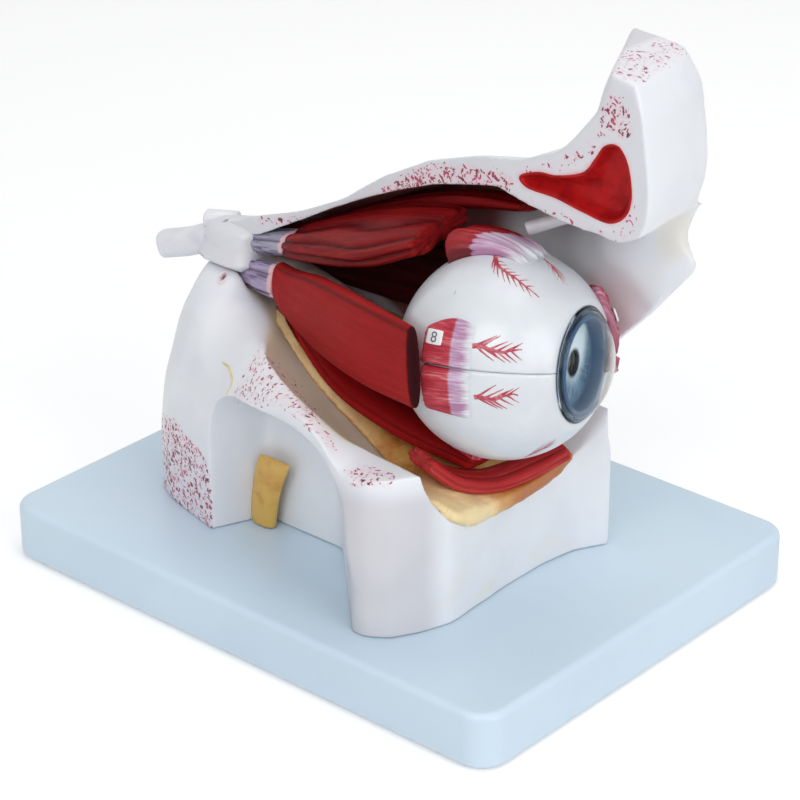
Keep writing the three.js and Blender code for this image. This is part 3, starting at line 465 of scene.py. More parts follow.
boneLook = {
    "colour": paint(232, 235, 240), "shade": paint(222, 224, 232), "warm": paint(233, 221, 190),
    # grey: grey that is painted shade on faces turned from the light, and plain grey elsewhere
    "grey": paint(200, 198, 204), "pink": paint(226, 150, 158),
    # dark is painted shadow in the apex's seam and pit; cavityRedShade is dark red paint with painted shade
    # in the cavity and the foramen
    "dark": paint(92, 76, 78), "cavityRedShade": paint(132, 34, 30), "patch": 28.0, "amount": 0.5,
    "dab": paint(182, 66, 98), "deep": paint(110, 16, 42), "halo": paint(228, 200, 210),
    "dabSize": 520.0, "bump": 0.00012,
}
boardLook = {"colour": paint(205, 224, 238), "shade": paint(196, 216, 232), "patch": 9.0,
             "amount": 0.5, "bump": 0.00006, "coat": 0.1}
rubberLook = {"colour": paint(40, 40, 42), "shade": paint(52, 52, 54), "patch": 60.0,
              "amount": 0.6, "bump": 0.0002}
nerveWhiteLook = {"colour": paint(232, 233, 238), "shade": paint(220, 219, 228), "patch": 90.0,
                  "amount": 0.7, "bump": 0.0002, "coat": 0.15}
opticNerveLook = {"colour": paint(196, 176, 170), "shade": paint(160, 128, 122), "patch": 110.0,
                  "amount": 0.8, "bump": 0.0002, "coat": 0.1}
nerveYellowLook = {"colour": paint(214, 172, 84), "shade": paint(196, 138, 58), "patch": 120.0,
                   "amount": 0.8, "bump": 0.00025, "coat": 0.2}
choroidLook = {"colour": paint(84, 36, 28), "shade": paint(58, 22, 18), "patch": 150.0,
               "amount": 0.8, "bump": 0.00015, "coat": 0.2}
sinusLook = {"colour": paint(178, 26, 28), "shade": paint(140, 14, 18), "patch": 130.0,
             "amount": 0.8, "bump": 0.0003, "coat": 0.0, "shine": 0.12}
muscleLook = {
    "light": paint(178, 36, 36), "colour": paint(156, 20, 22), "dark": paint(116, 10, 14),
    "stain": paint(46, 3, 8), "fine": 1.6, "contrast": 0.4, "roughness": 0.58, "bump": 0.0003,
    "coat": 0.0, "shine": 0.1,
}
deepMuscleLook = {
    "light": paint(160, 44, 40), "colour": paint(132, 18, 20), "dark": paint(64, 4, 12),
    "stain": paint(40, 4, 10), "fine": 1.2, "contrast": 0.7, "roughness": 0.42, "bump": 0.0003,
    "coat": 0.0, "shine": 0.08,
}
shadedMuscleLook = {
    "light": paint(92, 18, 20), "colour": paint(66, 8, 12), "dark": paint(34, 2, 6),
    "stain": paint(30, 4, 8), "fine": 1.2, "contrast": 0.7, "roughness": 0.5, "bump": 0.0003,
    "coat": 0.0, "shine": 0.15,
}
obliqueLook = {
    **muscleLook, "light": paint(214, 82, 86), "colour": paint(184, 32, 34), "dark": paint(140, 14, 20),
    "contrast": 0.7, "coat": 0.15, "shine": 0.3,
}
insertionLook = {
    "light": paint(222, 132, 138), "colour": paint(184, 54, 68), "dark": paint(146, 28, 48),
    "fine": 1.6, "contrast": 1.0, "roughness": 0.5, "bump": 0.0003, "coat": 0.1,
    "tendon": paint(208, 186, 208), "tendonDark": paint(170, 122, 158), "end": paint(212, 216, 222),
    "ragged": (0.06, 0.5),
}
deepInsertionLook = {
    **insertionLook, "light": paint(202, 84, 84), "colour": paint(160, 26, 34), "dark": paint(94, 6, 18),
    "ragged": (0.5, 0.7),
}
tendonLook = {
    "light": paint(208, 198, 220), "colour": paint(168, 152, 186), "dark": paint(70, 50, 82),
    # stain is a pale pink painted highlight on the stubs' cut ends
    "stain": paint(226, 184, 190), "fine": 1.5, "contrast": 0.9, "roughness": 0.45, "bump": 0.0003,
    "coat": 0.1,
}
upperTendonLook = {
    **tendonLook, "light": paint(204, 208, 218), "colour": paint(164, 164, 182), "dark": paint(82, 60, 104),
}

bone = boneMaterial(boneLook)
boardPlastic = castMaterial("palePlastic", boardLook)
rubber = castMaterial("footRubber", rubberLook)
nerveWhite = castMaterial("nerveWhite", nerveWhiteLook)
opticNervePaint = castMaterial("opticNervePaint", opticNerveLook)
nerveYellow = castMaterial("nerveYellow", nerveYellowLook)
choroidBrown = castMaterial("choroidBrown", choroidLook)
sinusRed = castMaterial("sinusRed", sinusLook)
muscleRed = muscleMaterial("muscleRed", muscleLook)
deepMuscleRed = muscleMaterial("deepMuscleRed", deepMuscleLook)
shadedMuscleRed = muscleMaterial("shadedMuscleRed", shadedMuscleLook)
obliqueRed = muscleMaterial("obliqueRed", obliqueLook)
insertionRed = muscleMaterial("insertionRed", insertionLook)
deepInsertionRed = muscleMaterial("deepInsertionRed", deepInsertionLook)
tendonLilac = muscleMaterial("tendonLilac", tendonLook)
tendonGrey = muscleMaterial("tendonGrey", upperTendonLook)
print("cast and muscle materials ready")


# Base board

boardLook.update({"length": 260, "width": 197, "corner": 12, "edge": 3, "foot": 1.5, "under": 0.8})
screwPlaces = [(-66, 8), (20, 12), (48, -52)]


def boardSkin(look):
    def outline(inset):
        radius = look["corner"] - inset
        hx, hy = look["length"] / 2 - look["corner"], look["width"] / 2 - look["corner"]
        ring = []
        for sx, sy, start in ((1, -1, -90), (1, 1, 0), (-1, 1, 90), (-1, -1, 180)):
            for degrees in np.linspace(start, start + 90, 13):
                turn = math.radians(degrees)
                ring.append((sx * hx + radius * math.cos(turn), sy * hy + radius * math.sin(turn)))
        return ring
    top, bottom, edge, under = orbit["boardTop"], look["foot"], look["edge"], look["under"]
    profile = [(6, bottom), (under + 0.4, bottom), (under, bottom)]
    profile += [(under * (1 - math.sin(b)), bottom + under * (1 - math.cos(b)))
                for b in np.linspace(0.2, math.pi / 2, 5)]
    profile += [(edge * (1 - math.cos(b)), top - edge * (1 - math.sin(b)))
                for b in np.linspace(0, math.pi / 2, 11)]
    profile += [(edge + 0.6, top), (6, top)]
    return ringSkin([[(x, y, z) for x, y in outline(inset)] for inset, z in profile])


def makeBoard():
    board = makeObject("baseBoard", *boardSkin(boardLook), boardPlastic)
    holes = [((x, y, -2), (x, y, boardLook["foot"] + 4.3), 6) for x, y in screwPlaces]
    holes += [((x, y, 0), (x, y, orbit["boardTop"] + 1), 2.7) for x, y in screwPlaces]
    cutAway(board, [barSkin(low, high, [(0, radius), (1, radius)]) for low, high, radius in holes])
    flat = board.modifiers.new("flat", "WEIGHTED_NORMAL")
    flat.keep_sharp = False
    settle(board, "orbit", "board", "base_board")
    for i, (sx, sy) in enumerate(((1, 1), (1, -1), (-1, 1), (-1, -1))):
        x, y = sx * (boardLook["length"] / 2 - 22), sy * (boardLook["width"] / 2 - 22)
        makePiece(f"foot{i + 1}", roundedBar((x, y, 0), (x, y, 1.4), 9, 0.5, 48), rubber,
                  "orbit", "rubber", f"foot_{i + 1}")


makeBoard()
print("board made")


# Bones: the solids' own skins, remeshed finely, their facets worn smooth and their edges softened

def voxelSkin(node, voxel, added=None):
    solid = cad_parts[node].data
    points = np.array([vertex.co for vertex in solid.vertices]) / mm
    faces = [tuple(polygon.vertices) for polygon in solid.polygons]
    if added:  # a closed skin that the remesh joins to the solid
        faces += [tuple(k + len(points) for k in face) for face in added[1]]
        points = np.concatenate([points, added[0]])
    work = makeObject("work", points, faces, bone)
    remesh = work.modifiers.new("remesh", "REMESH")
    remesh.mode, remesh.voxel_size, remesh.adaptivity = "VOXEL", voxel * mm, 0
    bpy.context.view_layer.update()
    seen = work.evaluated_get(bpy.context.evaluated_depsgraph_get())
    mesh = seen.to_mesh()
    points = np.empty(len(mesh.vertices) * 3)
    mesh.vertices.foreach_get("co", points)
    corners = np.empty(len(mesh.loops), int)
    mesh.loops.foreach_get("vertex_index", corners)
    seen.to_mesh_clear()
    bpy.data.objects.remove(work)
    return points.reshape(-1, 3) / mm, corners.reshape(-1, 4)


def faceNormals(points, quads):
    corner = points[quads]
    return unit(np.cross(corner[:, 2] - corner[:, 0], corner[:, 3] - corner[:, 1]))


def gather(index, values, count):
    return np.stack([np.bincount(index, values[:, k], count) for k in range(3)], 1)


def pointNormals(points, quads):
    normals = faceNormals(points, quads)
    return unit(gather(quads.ravel(), np.repeat(normals, 4, 0), len(points)))


# Face normals are averaged with their neighbours, but not over a crease, and the points follow them
def wearSmooth(points, quads, passes, crease, steps=18):
    edges = np.sort(np.stack([quads, np.roll(quads, -1, 1)], -1).reshape(-1, 2), 1)
    key = edges[:, 0] * len(points) + edges[:, 1]
    order = np.argsort(key, kind="stable")
    same = key[order][:-1] == key[order][1:]
    first, second = order[:-1][same] // 4, order[1:][same] // 4
    normals = faceNormals(points, quads)
    for _ in range(passes):
        alike = (normals[first] * normals[second]).sum(1)
        weight = (np.clip((alike - crease) / (1 - crease), 0, 1) ** 2)[:, None]
        normals = unit(normals + gather(first, weight * normals[second], len(quads))
                       + gather(second, weight * normals[first], len(quads)))
    faces = quads.ravel()
    count = np.bincount(faces, minlength=len(points))[:, None]
    for _ in range(steps):
        away = points[quads].mean(1)[:, None] - points[quads]
        push = (away * normals[:, None]).sum(2)[..., None] * normals[:, None]
        points = points + gather(faces, push.reshape(-1, 3), len(points)) / count
    return points


def relax(points, quads, passes, share=0.4):
    faces = quads.ravel()
    count = np.bincount(faces, minlength=len(points))[:, None]
    for _ in range(passes):
        middle = np.repeat(points[quads].mean(1), 4, 0)
        points = points + share * (gather(faces, middle, len(points)) / count - points)
    return points


# How far inside a closed outline of x, z points each point lies, as 0 or 1, softened over a margin
def inOutline(points, outline, margin):
    spots = points[:, [0, 2]]
    inside = np.zeros(len(spots), bool)
    nearest = np.full(len(spots), 1e9)
    for (x0, z0), (x1, z1) in zip(outline, outline[1:] + outline[:1]):
        crossing = (z0 > spots[:, 1]) != (z1 > spots[:, 1])
        reach = x0 + (spots[:, 1] - z0) / (z1 - z0 if z1 != z0 else 1e-9) * (x1 - x0)
        inside ^= crossing & (spots[:, 0] < reach)
        run = np.array([x1 - x0, z1 - z0], float)
        share = np.clip(((spots - (x0, z0)) @ run) / (run @ run), 0, 1)
        nearest = np.minimum(nearest, np.linalg.norm(spots - (x0, z0) - share[:, None] * run, axis=1))
    return smoothStep(-margin, margin, np.where(inside, nearest, -nearest))


# A soft round spot about a point
def spot(points, centre, radius):
    return 1 - smoothStep(radius * 0.5, radius, np.linalg.norm(points - np.array(centre, float), axis=1))


boneWear = {"voxel": 1.0, "passes": 70, "crease": 0.72, "relax": 2, "cornerRelax": 70,
            "unevenness": 0.22, "waveSize": 17}  # voxel, unevenness and wave size in millimetres


# Where the castings are rounder than the rest: corners of the apex, the brow and the front block
def softness(node, points):
    x, y, z = points.T
    if node == "medial_wall":
        return smoothStep(-60, -70, x) * (z > 119.5) * 2.3
    if node == "frontal_bone":
        return np.maximum(smoothStep(236, 243, z) * 0.3, smoothStep(-80, -88, x) * 0.8)
    corner = np.linalg.norm(points - np.array((81, 36, 88)), axis=1)
    return np.maximum(smoothStep(22, 8, corner), smoothStep(-62, -70, x) * (z > 104) * 0.35)


def wornSkin(node, voxel, passes, crease, softer, added=None):
    points, quads = voxelSkin(node, voxel, added)
    return relax(wearSmooth(points, quads, passes, crease), quads, softer), quads


def carvedBone(node, sculpt, colourIt, added=None):
    points, quads = wornSkin(node, boneWear["voxel"], boneWear["passes"], boneWear["crease"],
                             boneWear["relax"], added)
    points = relax(points, quads, boneWear["cornerRelax"], 0.4 * softness(node, points)[:, None])
    floor = points[:, 2] < orbit["boneTop"] + 0.6
    normals = pointNormals(points, quads)
    wave = noiseAt(points, boneWear["waveSize"]) * boneWear["unevenness"]
    wave += sculpt(points, normals)
    points = points + normals * np.where(floor, 0, wave)[:, None]
    normals = pointNormals(points, quads)
    names = {key: np.zeros(len(points)) for key in ("cut", "warm", "grey", "pink", "dark", "deep")}
    names.update(colourIt(points, normals))
    return points, quads, names


foramen = {"centre": (-77, -20.3, 116.7), "across": (0.93, 0.32, 0.18), "half": (1.3, 2.7), "depth": -1.2}


# 0 inside the foramen's oval and 1 outside it; low and high are shares of its half widths
def ovalRing(points, low, high):
    away = points - np.array(foramen["centre"], float)
    across = unit(foramen["across"])
    aside = away @ across
    rest = np.linalg.norm(away - aside[:, None] * across, axis=1)
    return smoothStep(low, high, np.hypot(aside / foramen["half"][0], rest / foramen["half"][1]))


def sculptLower(points, normals):
    wave = np.zeros(len(points))
    for centre, radius, depth in lowerHollows:
        wave += spot(points, centre, radius) * depth
    return wave + (1 - ovalRing(points, 0.5, 1.0)) * foramen["depth"]


lowerHollows = [  # centre, radius and how far the skin sinks or swells there
    ((-84, -48, 92), 20, -1.2), ((-70, -54, 80), 16, -0.8), ((-52, -58, 90), 14, -0.8),
    ((62, -86, 62), 26, 1.2), ((45, -82, 40), 22, -0.8),
]
pillarCut = [(-92, 20), (-92, 57), (-84, 61), (-73.7, 64.5), (-66, 61), (-58, 59.5), (-51, 58),
             (-46.5, 45), (-45, 20)]
# Cut areas of the rim on a leaning sheet, as across and up, with how thick the dabs lie in each
rimSheet = {"turn": 41.1, "lean": 26.7}  # degrees from X, and backwards
lowerCuts = [
    ([(-55, 89), (-66, 69), (-61, 67), (-45, 66.5), (-30, 56), (-24, 48), (-22, 50), (-30, 64),
      (-37, 73), (-43.5, 82)], 0.5),
    ([(-19.5, 43.5), (-18.5, 36.5), (-2.6, 36), (0, 41.3), (-9.8, 43.8)], 0.6),
]


def aboveView(points):
    turn, lean = math.radians(rimSheet["turn"]), math.radians(rimSheet["lean"])
    across = points[:, 0] * math.cos(turn) + points[:, 1] * math.sin(turn)
    back = -points[:, 0] * math.sin(turn) + points[:, 1] * math.cos(turn)
    return across, back * math.sin(lean) + points[:, 2] * math.cos(lean)


def colourLower(points, normals):
    x, y, z = points.T
    outward = smoothStep(0.35, 0.75, -normals[:, 1])
    cut = inOutline(points, pillarCut, 1.2) * outward * 0.85
    u, v = aboveView(points)
    for outline, amount in lowerCuts:
        rim = inOutline(np.stack([u, u, v], 1), outline, 1.0) * (z > 78) * (z < 112) * (y < -36)
        cut = np.maximum(cut, rim * amount)
    hollow = smoothStep(60, 30, z) * smoothStep(40, 62, x)
    warm = hollow * smoothStep(0.1, 0.6, noiseAt(points, 14, 3.1)) * 0.22
    warm = np.maximum(warm, smoothStep(0.0, 0.5, normals[:, 1]) * (z > 55) * (x < 70) * (y < 20) * 0.75)
    # painted shade: grey on the front's faces turned to the left, and on the front block's left face
    grey = smoothStep(-36, -40, y) * smoothStep(0.5, 0.9, -normals[:, 0]) * 0.35
    grey = np.maximum(grey, smoothStep(4, 20, x) * smoothStep(-54, -66, y) * smoothStep(92, 80, z) * 0.8)
    pink = ovalRing(points, 1.0, 1.3) * (1 - ovalRing(points, 1.5, 2.0))
    # painted shade: the foramen's pit takes the cavity's dark red
    dark = 1 - ovalRing(points, 0.6, 1.0)
    return {"cut": cut, "warm": warm, "grey": grey, "pink": pink * 0.3, "deep": dark}


browCuts = [  # outlines on the cut face, as x and z, with how thick the dabs lie in each
    ([(-4.9, 166.5), (8.2, 180), (25.5, 190), (44.9, 195.5), (62.4, 197), (69, 195), (64, 189.6),
      (45, 187), (25.5, 181.6), (8.2, 172.4), (-4.9, 163.4)], 1.0),
    ([(-4.9, 166), (-18.2, 159.4), (-31.7, 153), (-45, 148), (-66, 143), (-66, 140), (-42.7, 145.4),
      (-31.7, 149.8), (-18.2, 156), (-4.9, 163.4)], 0.75),
    ([(68, 199.8), (83.2, 206.6), (95.6, 215), (102.3, 221.5), (106.6, 229), (110.4, 226.2), (105.1, 217.4),
      (95.7, 209), (83.3, 202.5), (68, 197.2)], 0.45),
    ([(63, 190), (75, 190), (89, 188), (103.5, 187), (113.7, 187), (118, 191.4), (120, 205.5),
      (123.5, 205.4), (124, 188.7), (113.8, 182), (103.6, 182), (89.5, 184), (75.2, 186), (63, 187)], 0.42),
    ([(109.7, 240), (115.1, 240.5), (118.9, 235), (121.5, 227), (116.6, 224.8), (110.3, 225.5),
      (106.6, 225), (107, 232)], 0.85),
]


def colourFrontal(points, normals):
    onFace = smoothStep(0.55, 0.85, -normals[:, 1]) * (points[:, 1] < orbit["roofCut"] + 2.5)
    cut = np.zeros(len(points))
    for outline, amount in browCuts:
        cut = np.maximum(cut, inOutline(points, outline, 1.6) * amount)
    pinkRim = np.clip(inOutline(points, sinusOutline, 3.2) * 2, 0, 1) * onFace
    x, y, z = points.T
    top = smoothStep(0.6, 0.9, normals[:, 2]) * (z > 238)
    band = top * smoothStep(97, 103, x) * smoothStep(123, 117, x) * 0.5
    # painted shade: grey on the brow's faces turned to the left; plain grey on its top left of x 97 and on
    # the cut face
    leftFacingShade = smoothStep(0.5, 0.9, -normals[:, 0]) * smoothStep(215, 230, z)
    grey = top * smoothStep(101, 97, x) * 0.7 + leftFacingShade * 0.4
    warm = smoothStep(0.0, 0.6, noiseAt(points, 22, 7.7)) * smoothStep(196, 182, z)
    warm = warm * smoothStep(86, 96, x) * 0.35
    # dark red paint with painted shade under the roof and on the inner faces behind the cut
    inside = smoothStep(-0.05, -0.45, normals[:, 2]) * (y > orbit["roofCut"] + 0.5)
    under = inside * smoothStep(-62, -40, x) * smoothStep(84, 66, x)
    inner = smoothStep(0.6, 0.9, -normals[:, 1]) * (y > 5) * smoothStep(40, 22, x) * (z > 100)
    grey = np.maximum(grey, onFace * 0.45)
    return {"cut": np.maximum(cut * onFace * (1 - pinkRim), band), "grey": grey, "pink": pinkRim * 0.8,
            "warm": warm * (1 - onFace), "deep": np.maximum(under, inner) * 0.9}


sinusOutline = [  # x and z on the cut face
    (70.6, 197), (79, 200.8), (87, 201.6), (100.5, 206.7), (105.7, 213.6), (109.6, 219.3), (114.6, 220.8),
    (118.8, 215.9), (121, 202), (118.8, 195.6), (112.6, 191.3), (99, 192.4), (87.3, 194.3), (73, 195)]


# The bone under the sinus, down to the fair curve of the brow's lower edge; it runs out towards the back
browLip = {"lower": [(60, 190.2), (66, 188.4), (75, 186.7), (89.5, 184.7), (101.5, 183.9)],
           "upper": [(101.5, 191.2), (90, 192.4), (74, 193.4), (60, 192.5)],
           "back": 14, "backLower": 191.6}


def browLipSkin(look):
    edge = look["lower"] + look["upper"]
    front = [(x, orbit["roofCut"], z) for x, z in edge]
    back = [(x, look["back"], max(z, look["backLower"])) for x, z in edge]
    return ringSkin([front, back])


def closedCurve(outline, count):
    stops = [np.array(p, float) for p in (*outline[-2:], *outline, *outline[:3])]
    places = (2 + np.arange(count) * len(outline) / count) / (len(stops) - 1)
    return np.array([pathPoint(stops, place) for place in places])


# The bone steps back inside the sinus, so that the lining covers it
def sculptFrontal(points, normals):
    edge = [tuple(spot) for spot in closedCurve(sinusOutline, 70)]
    return -1.3 * inOutline(points, edge, 0.5) * (points[:, 1] < 12)


# The apex fills the gap under the roof and swells a little to make up for its worn corners
def sculptMedial(points, normals):
    x, y, z = points.T
    head = smoothStep(-64, -70, x) * (z > 119.5)
    return head * (2.4 + 2.2 * smoothStep(0.3, 0.8, normals[:, 2]) * (z > 126))


def colourMedial(points, normals):
    x, y, z = points.T
    # painted shadow: a dark line along the seam under the apex head, and a dark spot for a pit on its top
    seamShadow = smoothStep(119.8, 117.4, z) * smoothStep(-9, -12, y) * (x < -70)
    pit = (1 - smoothStep(0.7, 1.5, np.hypot(x + 85.2, y + 9))) * (z > 127)
    # dark red paint with painted shade on the wall's faces turned to the cavity
    cavityRedShade = smoothStep(0.5, 0.9, -normals[:, 1]) * (y > 5) * smoothStep(48, 28, x)
    # the apex is greyer
    return {"warm": smoothStep(0.1, 0.6, noiseAt(points, 18, 5.5)) * smoothStep(-60, -50, x) * 0.3,
            "dark": np.maximum(seamShadow * 0.75, pit * 0.8), "grey": smoothStep(-60, -70, x) * 0.45,
            "deep": cavityRedShade * 0.9}


boneSkins = {}
for node, title, sculpt, colourIt, added in (
        ("lower_orbit_bone", "lowerOrbitBone", sculptLower, colourLower, None),
        ("frontal_bone", "frontalBone", sculptFrontal, colourFrontal, browLipSkin(browLip)),
        ("medial_wall", "medialWall", sculptMedial, colourMedial, None)):
    points, quads, names = carvedBone(node, sculpt, colourIt, added)
    makePiece(title, (points, quads.tolist()), bone, "orbit", "bone", node, attributes=names)
    boneSkins[node] = (points, quads)
    print(title, len(quads), "faces")


# Sinus lining: a smooth bowl whose rim laps a little over the cut bone
sinusBowl = {"middle": (103, 201), "rim": 0.9, "proud": 0.15, "depth": 7.6, "wall": 2.2, "thick": 1.2,
             "unevenness": 0.5, "waveSize": 7}


def sinusSkin(look):
    edge = closedCurve(sinusOutline, 320)
    ahead = np.roll(edge, -1, 0) - np.roll(edge, 1, 0)
    aside = unit(np.stack([-ahead[:, 1], ahead[:, 0]], 1))
    middle = np.array(look["middle"], float)
    level = orbit["roofCut"] - look["proud"]
    bowl = []
    for share in np.linspace(0.02, 1, 50):
        flat = middle + (edge - middle) * share
        room = np.linalg.norm(flat[:, None] - edge[None], axis=2).min(1)
        depth = look["depth"] * (1 - np.exp(-room / look["wall"]))
        spots = np.stack([flat[:, 0], level + depth, flat[:, 1]], 1)
        spots[:, 1] += noiseAt(spots, look["waveSize"]) * look["unevenness"] * smoothStep(0, 3, room)
        bowl.append(spots)
    rim = look["rim"]
    lap = [np.insert(edge + aside * reach, 1, level + sink, axis=1)
           for reach, sink in ((rim * 0.6, 0), (rim, 0.03), (rim + 0.05, 0.5), (rim, look["thick"]))]
    return ringSkin([*bowl, *lap, *[ring + (0, look["thick"], 0) for ring in bowl[::-1]]])


makePiece("sinusLining", sinusSkin(sinusBowl), sinusRed, "orbit", "sinus_red", "sinus_lining")


# Soft parts of the orbit that lie still

def fatMaterial(look):
    material, tree, shader = startMaterial("orbitFat")
    where = addNode(tree, "TexCoord").outputs["Object"]
    ochre = mixColour(tree, spread(tree, noiseNode(tree, where, 90, 3, 0.6), 0.4, 0.65),
                      look["colour"], look["deep"])
    # paler paint towards the front right, and painted light on the fat's upward faces
    tone = mixColour(tree, painted(tree, "pale"), ochre, look["pale"])
    tone = mixColour(tree, painted(tree, "brown"), tone, look["brown"])
    tree.links.new(tone, shader["Base Color"])
    shader["Roughness"].default_value = 0.4
    shader["Coat Weight"].default_value = 0.25
    lumps = noiseNode(tree, where, 260, 3, 0.55)
    bumpInto(tree, shader, lumps, 0.0006)
    return material


fatLook = {"colour": paint(220, 172, 98), "deep": paint(202, 134, 66), "pale": paint(240, 216, 164),
           "brown": paint(176, 100, 40)}
orbitFat = fatMaterial(fatLook)
points, quads = wornSkin("orbital_fat", 0.8, 50, 0.6, 4)
normals = pointNormals(points, quads)
thin = smoothStep(-14, -52, points[:, 0]) * 1.5
full = smoothStep(30, 44, points[:, 0]) * smoothStep(-30, -42, points[:, 1]) * 1.5
points = points + normals * (noiseAt(points, 5) * 0.3 + 0.55 + full - thin)[:, None]
pale = smoothStep(44, 62, points[:, 0]) * smoothStep(-20, -34, points[:, 1])
# painted light: paler on faces turned up
pale = np.maximum(pale, smoothStep(0.2, 0.8, normals[:, 2]) * smoothStep(30, -10, points[:, 0]) * 0.7)
brown = smoothStep(66, 78, points[:, 0]) * smoothStep(-30, -10, points[:, 1])
makePiece("orbitalFat", (points, quads.tolist()), orbitFat, "orbit", "fat", "orbital_fat",
          attributes={"pale": pale, "brown": brown})

points, quads = wornSkin("infraorbital_nerve", 0.6, 40, 0.6, 4)
makePiece("infraorbitalNerve", (points, quads.tolist()), nerveYellow, "orbit", "nerve_yellow",
          "infraorbital_nerve")

# Thin raised line that follows the bone between a few places
paleLineLook = {"colour": paint(226, 212, 158), "shade": paint(206, 190, 130), "patch": 120.0,
                "amount": 0.8, "bump": 0.0001}
lineLook = {"places": [(-50.5, -48.9, 96.3), (-43, -53, 97.5), (-35.5, -59, 95.3), (-36.5, -60.5, 90.5)],
            "radius": 0.7}


def lineSkin(look, steps=40, sides=12):
    lowerBone, quads = boneSkins["lower_orbit_bone"]
    surface = BVHTree.FromPolygons(lowerBone.tolist(), quads.tolist())
    stops = [np.array(p, float) for p in look["places"]]
    rings = []
    for t in np.linspace(0, 1, steps):
        place, normal = [np.array(v) for v in surface.find_nearest(Vector(pathPoint(stops, t)))[:2]]
        ahead = unit(pathPoint(stops, t + 0.01) - pathPoint(stops, t - 0.01))
        aside = unit(np.cross(ahead, normal))
        radius = look["radius"] * (0.35 + 0.65 * math.sin(math.pi * min(max(t, 0.02), 0.98)) ** 0.5)
        rings.append([place + (aside * math.cos(a) + normal * (math.sin(a) * 0.5)) * radius
                      for a in np.linspace(0, 2 * math.pi, sides, endpoint=False)])
    return ringSkin(rings)


makePiece("yellowLine", lineSkin(lineLook), castMaterial("paleLine", paleLineLook), "orbit", "nerve_yellow")
print("fat and nerve made")


# Muscles, stubs, nerves and tubes: straps swept along the solids' paths, with fibres let into the skin

muscles = {  # rows: x, y, z of the middle, width, thickness and lean in degrees
    "lateral_rectus": {
        "rows": [(-54, -13, 120.3, 16.6, 10.2, 86), (-40, -18.2, 119.4, 21, 11.5, 86),
                 (-12, -31, 122.8, 31, 12, 88), (28, -49.5, 129.8, 34, 11, 88),
                 (66.2, -65.6, 137.3, 32, 5.8, 88)],
        "bundles": 0, "depth": 0.0, "fibre": 0.25, "seed": 1.0, "low": -51.1, "stain": ("front", "edge"),
        "paint": muscleRed, "body": "lateral_muscle"},
    "superior_rectus": {
        "rows": [(-51, -7.2, 135.3, 16, 10.4, 8), (-38, -9.4, 140.3, 22.5, 11.6, 15),
                 (-12, -12.6, 149.9, 31.5, 12.8, 20), (14, -15.4, 160, 37, 12.4, 19),
                 (37, -17, 168, 35, 10.4, 9)],
        "bundles": 8, "depth": 1.5, "fibre": 0.2, "seed": 4.0, "low": -48.1, "stain": ("start",),
        "fold": 1.7, "paint": deepMuscleRed, "body": "superior_muscle"},
    "medial_rectus": {
        "rows": [(-70.6, 9.4, 119, 10, 4.6, 90), (-50, 14, 121, 18, 6, 90), (-10, 21, 123.5, 28, 6.5, 90),
                 (24, 24.4, 125, 31, 6, 90), (50, 26.2, 127, 30, 5, 90)],
        "bundles": 7, "depth": 0.5, "fibre": 0.15, "seed": 9.0, "paint": shadedMuscleRed, "body": "orbit"},
    "inferior_rectus": {
        "rows": [(-72, 3, 111, 8, 4.6, 0), (-48, -2, 105.2, 22, 8, 0), (0, -14, 93.5, 40, 8.5, 0),
                 (30, -16.5, 86.6, 39, 8.5, 0), (50, -18, 81.8, 27, 8, 0), (62, -18, 79.6, 22, 7, 0)],
        "bundles": 7, "depth": 0.6, "fibre": 0.15, "seed": 13.0, "paint": muscleRed, "body": "orbit"},
    "levator": {
        "rows": [(-70.6, 5.4, 130.2, 5, 3.2, -10), (-44, 9, 140.2, 13, 6, -14),
                 (-10, 12, 155.2, 19, 8, -16), (28, 12, 169.8, 21, 8, -14), (60, 12, 176.2, 20, 5, -12)],
        "bundles": 5, "depth": 0.5, "fibre": 0.12, "seed": 17.0, "paint": deepMuscleRed, "body": "orbit"},
    "inferior_oblique": {
        "rows": [(76, 15, 74.6, 10, 6, 0), (70, 0, 71.4, 14, 6.4, 0), (65, -20, 71.3, 17, 6.4, 0),
                 (60, -37, 77.6, 19, 7, 0), (56, -50, 89.5, 18, 6.5, 0)],
        "bundles": 5, "depth": 0.8, "fibre": 0.2, "seed": 21.0, "paint": obliqueRed, "body": "orbit"},
}


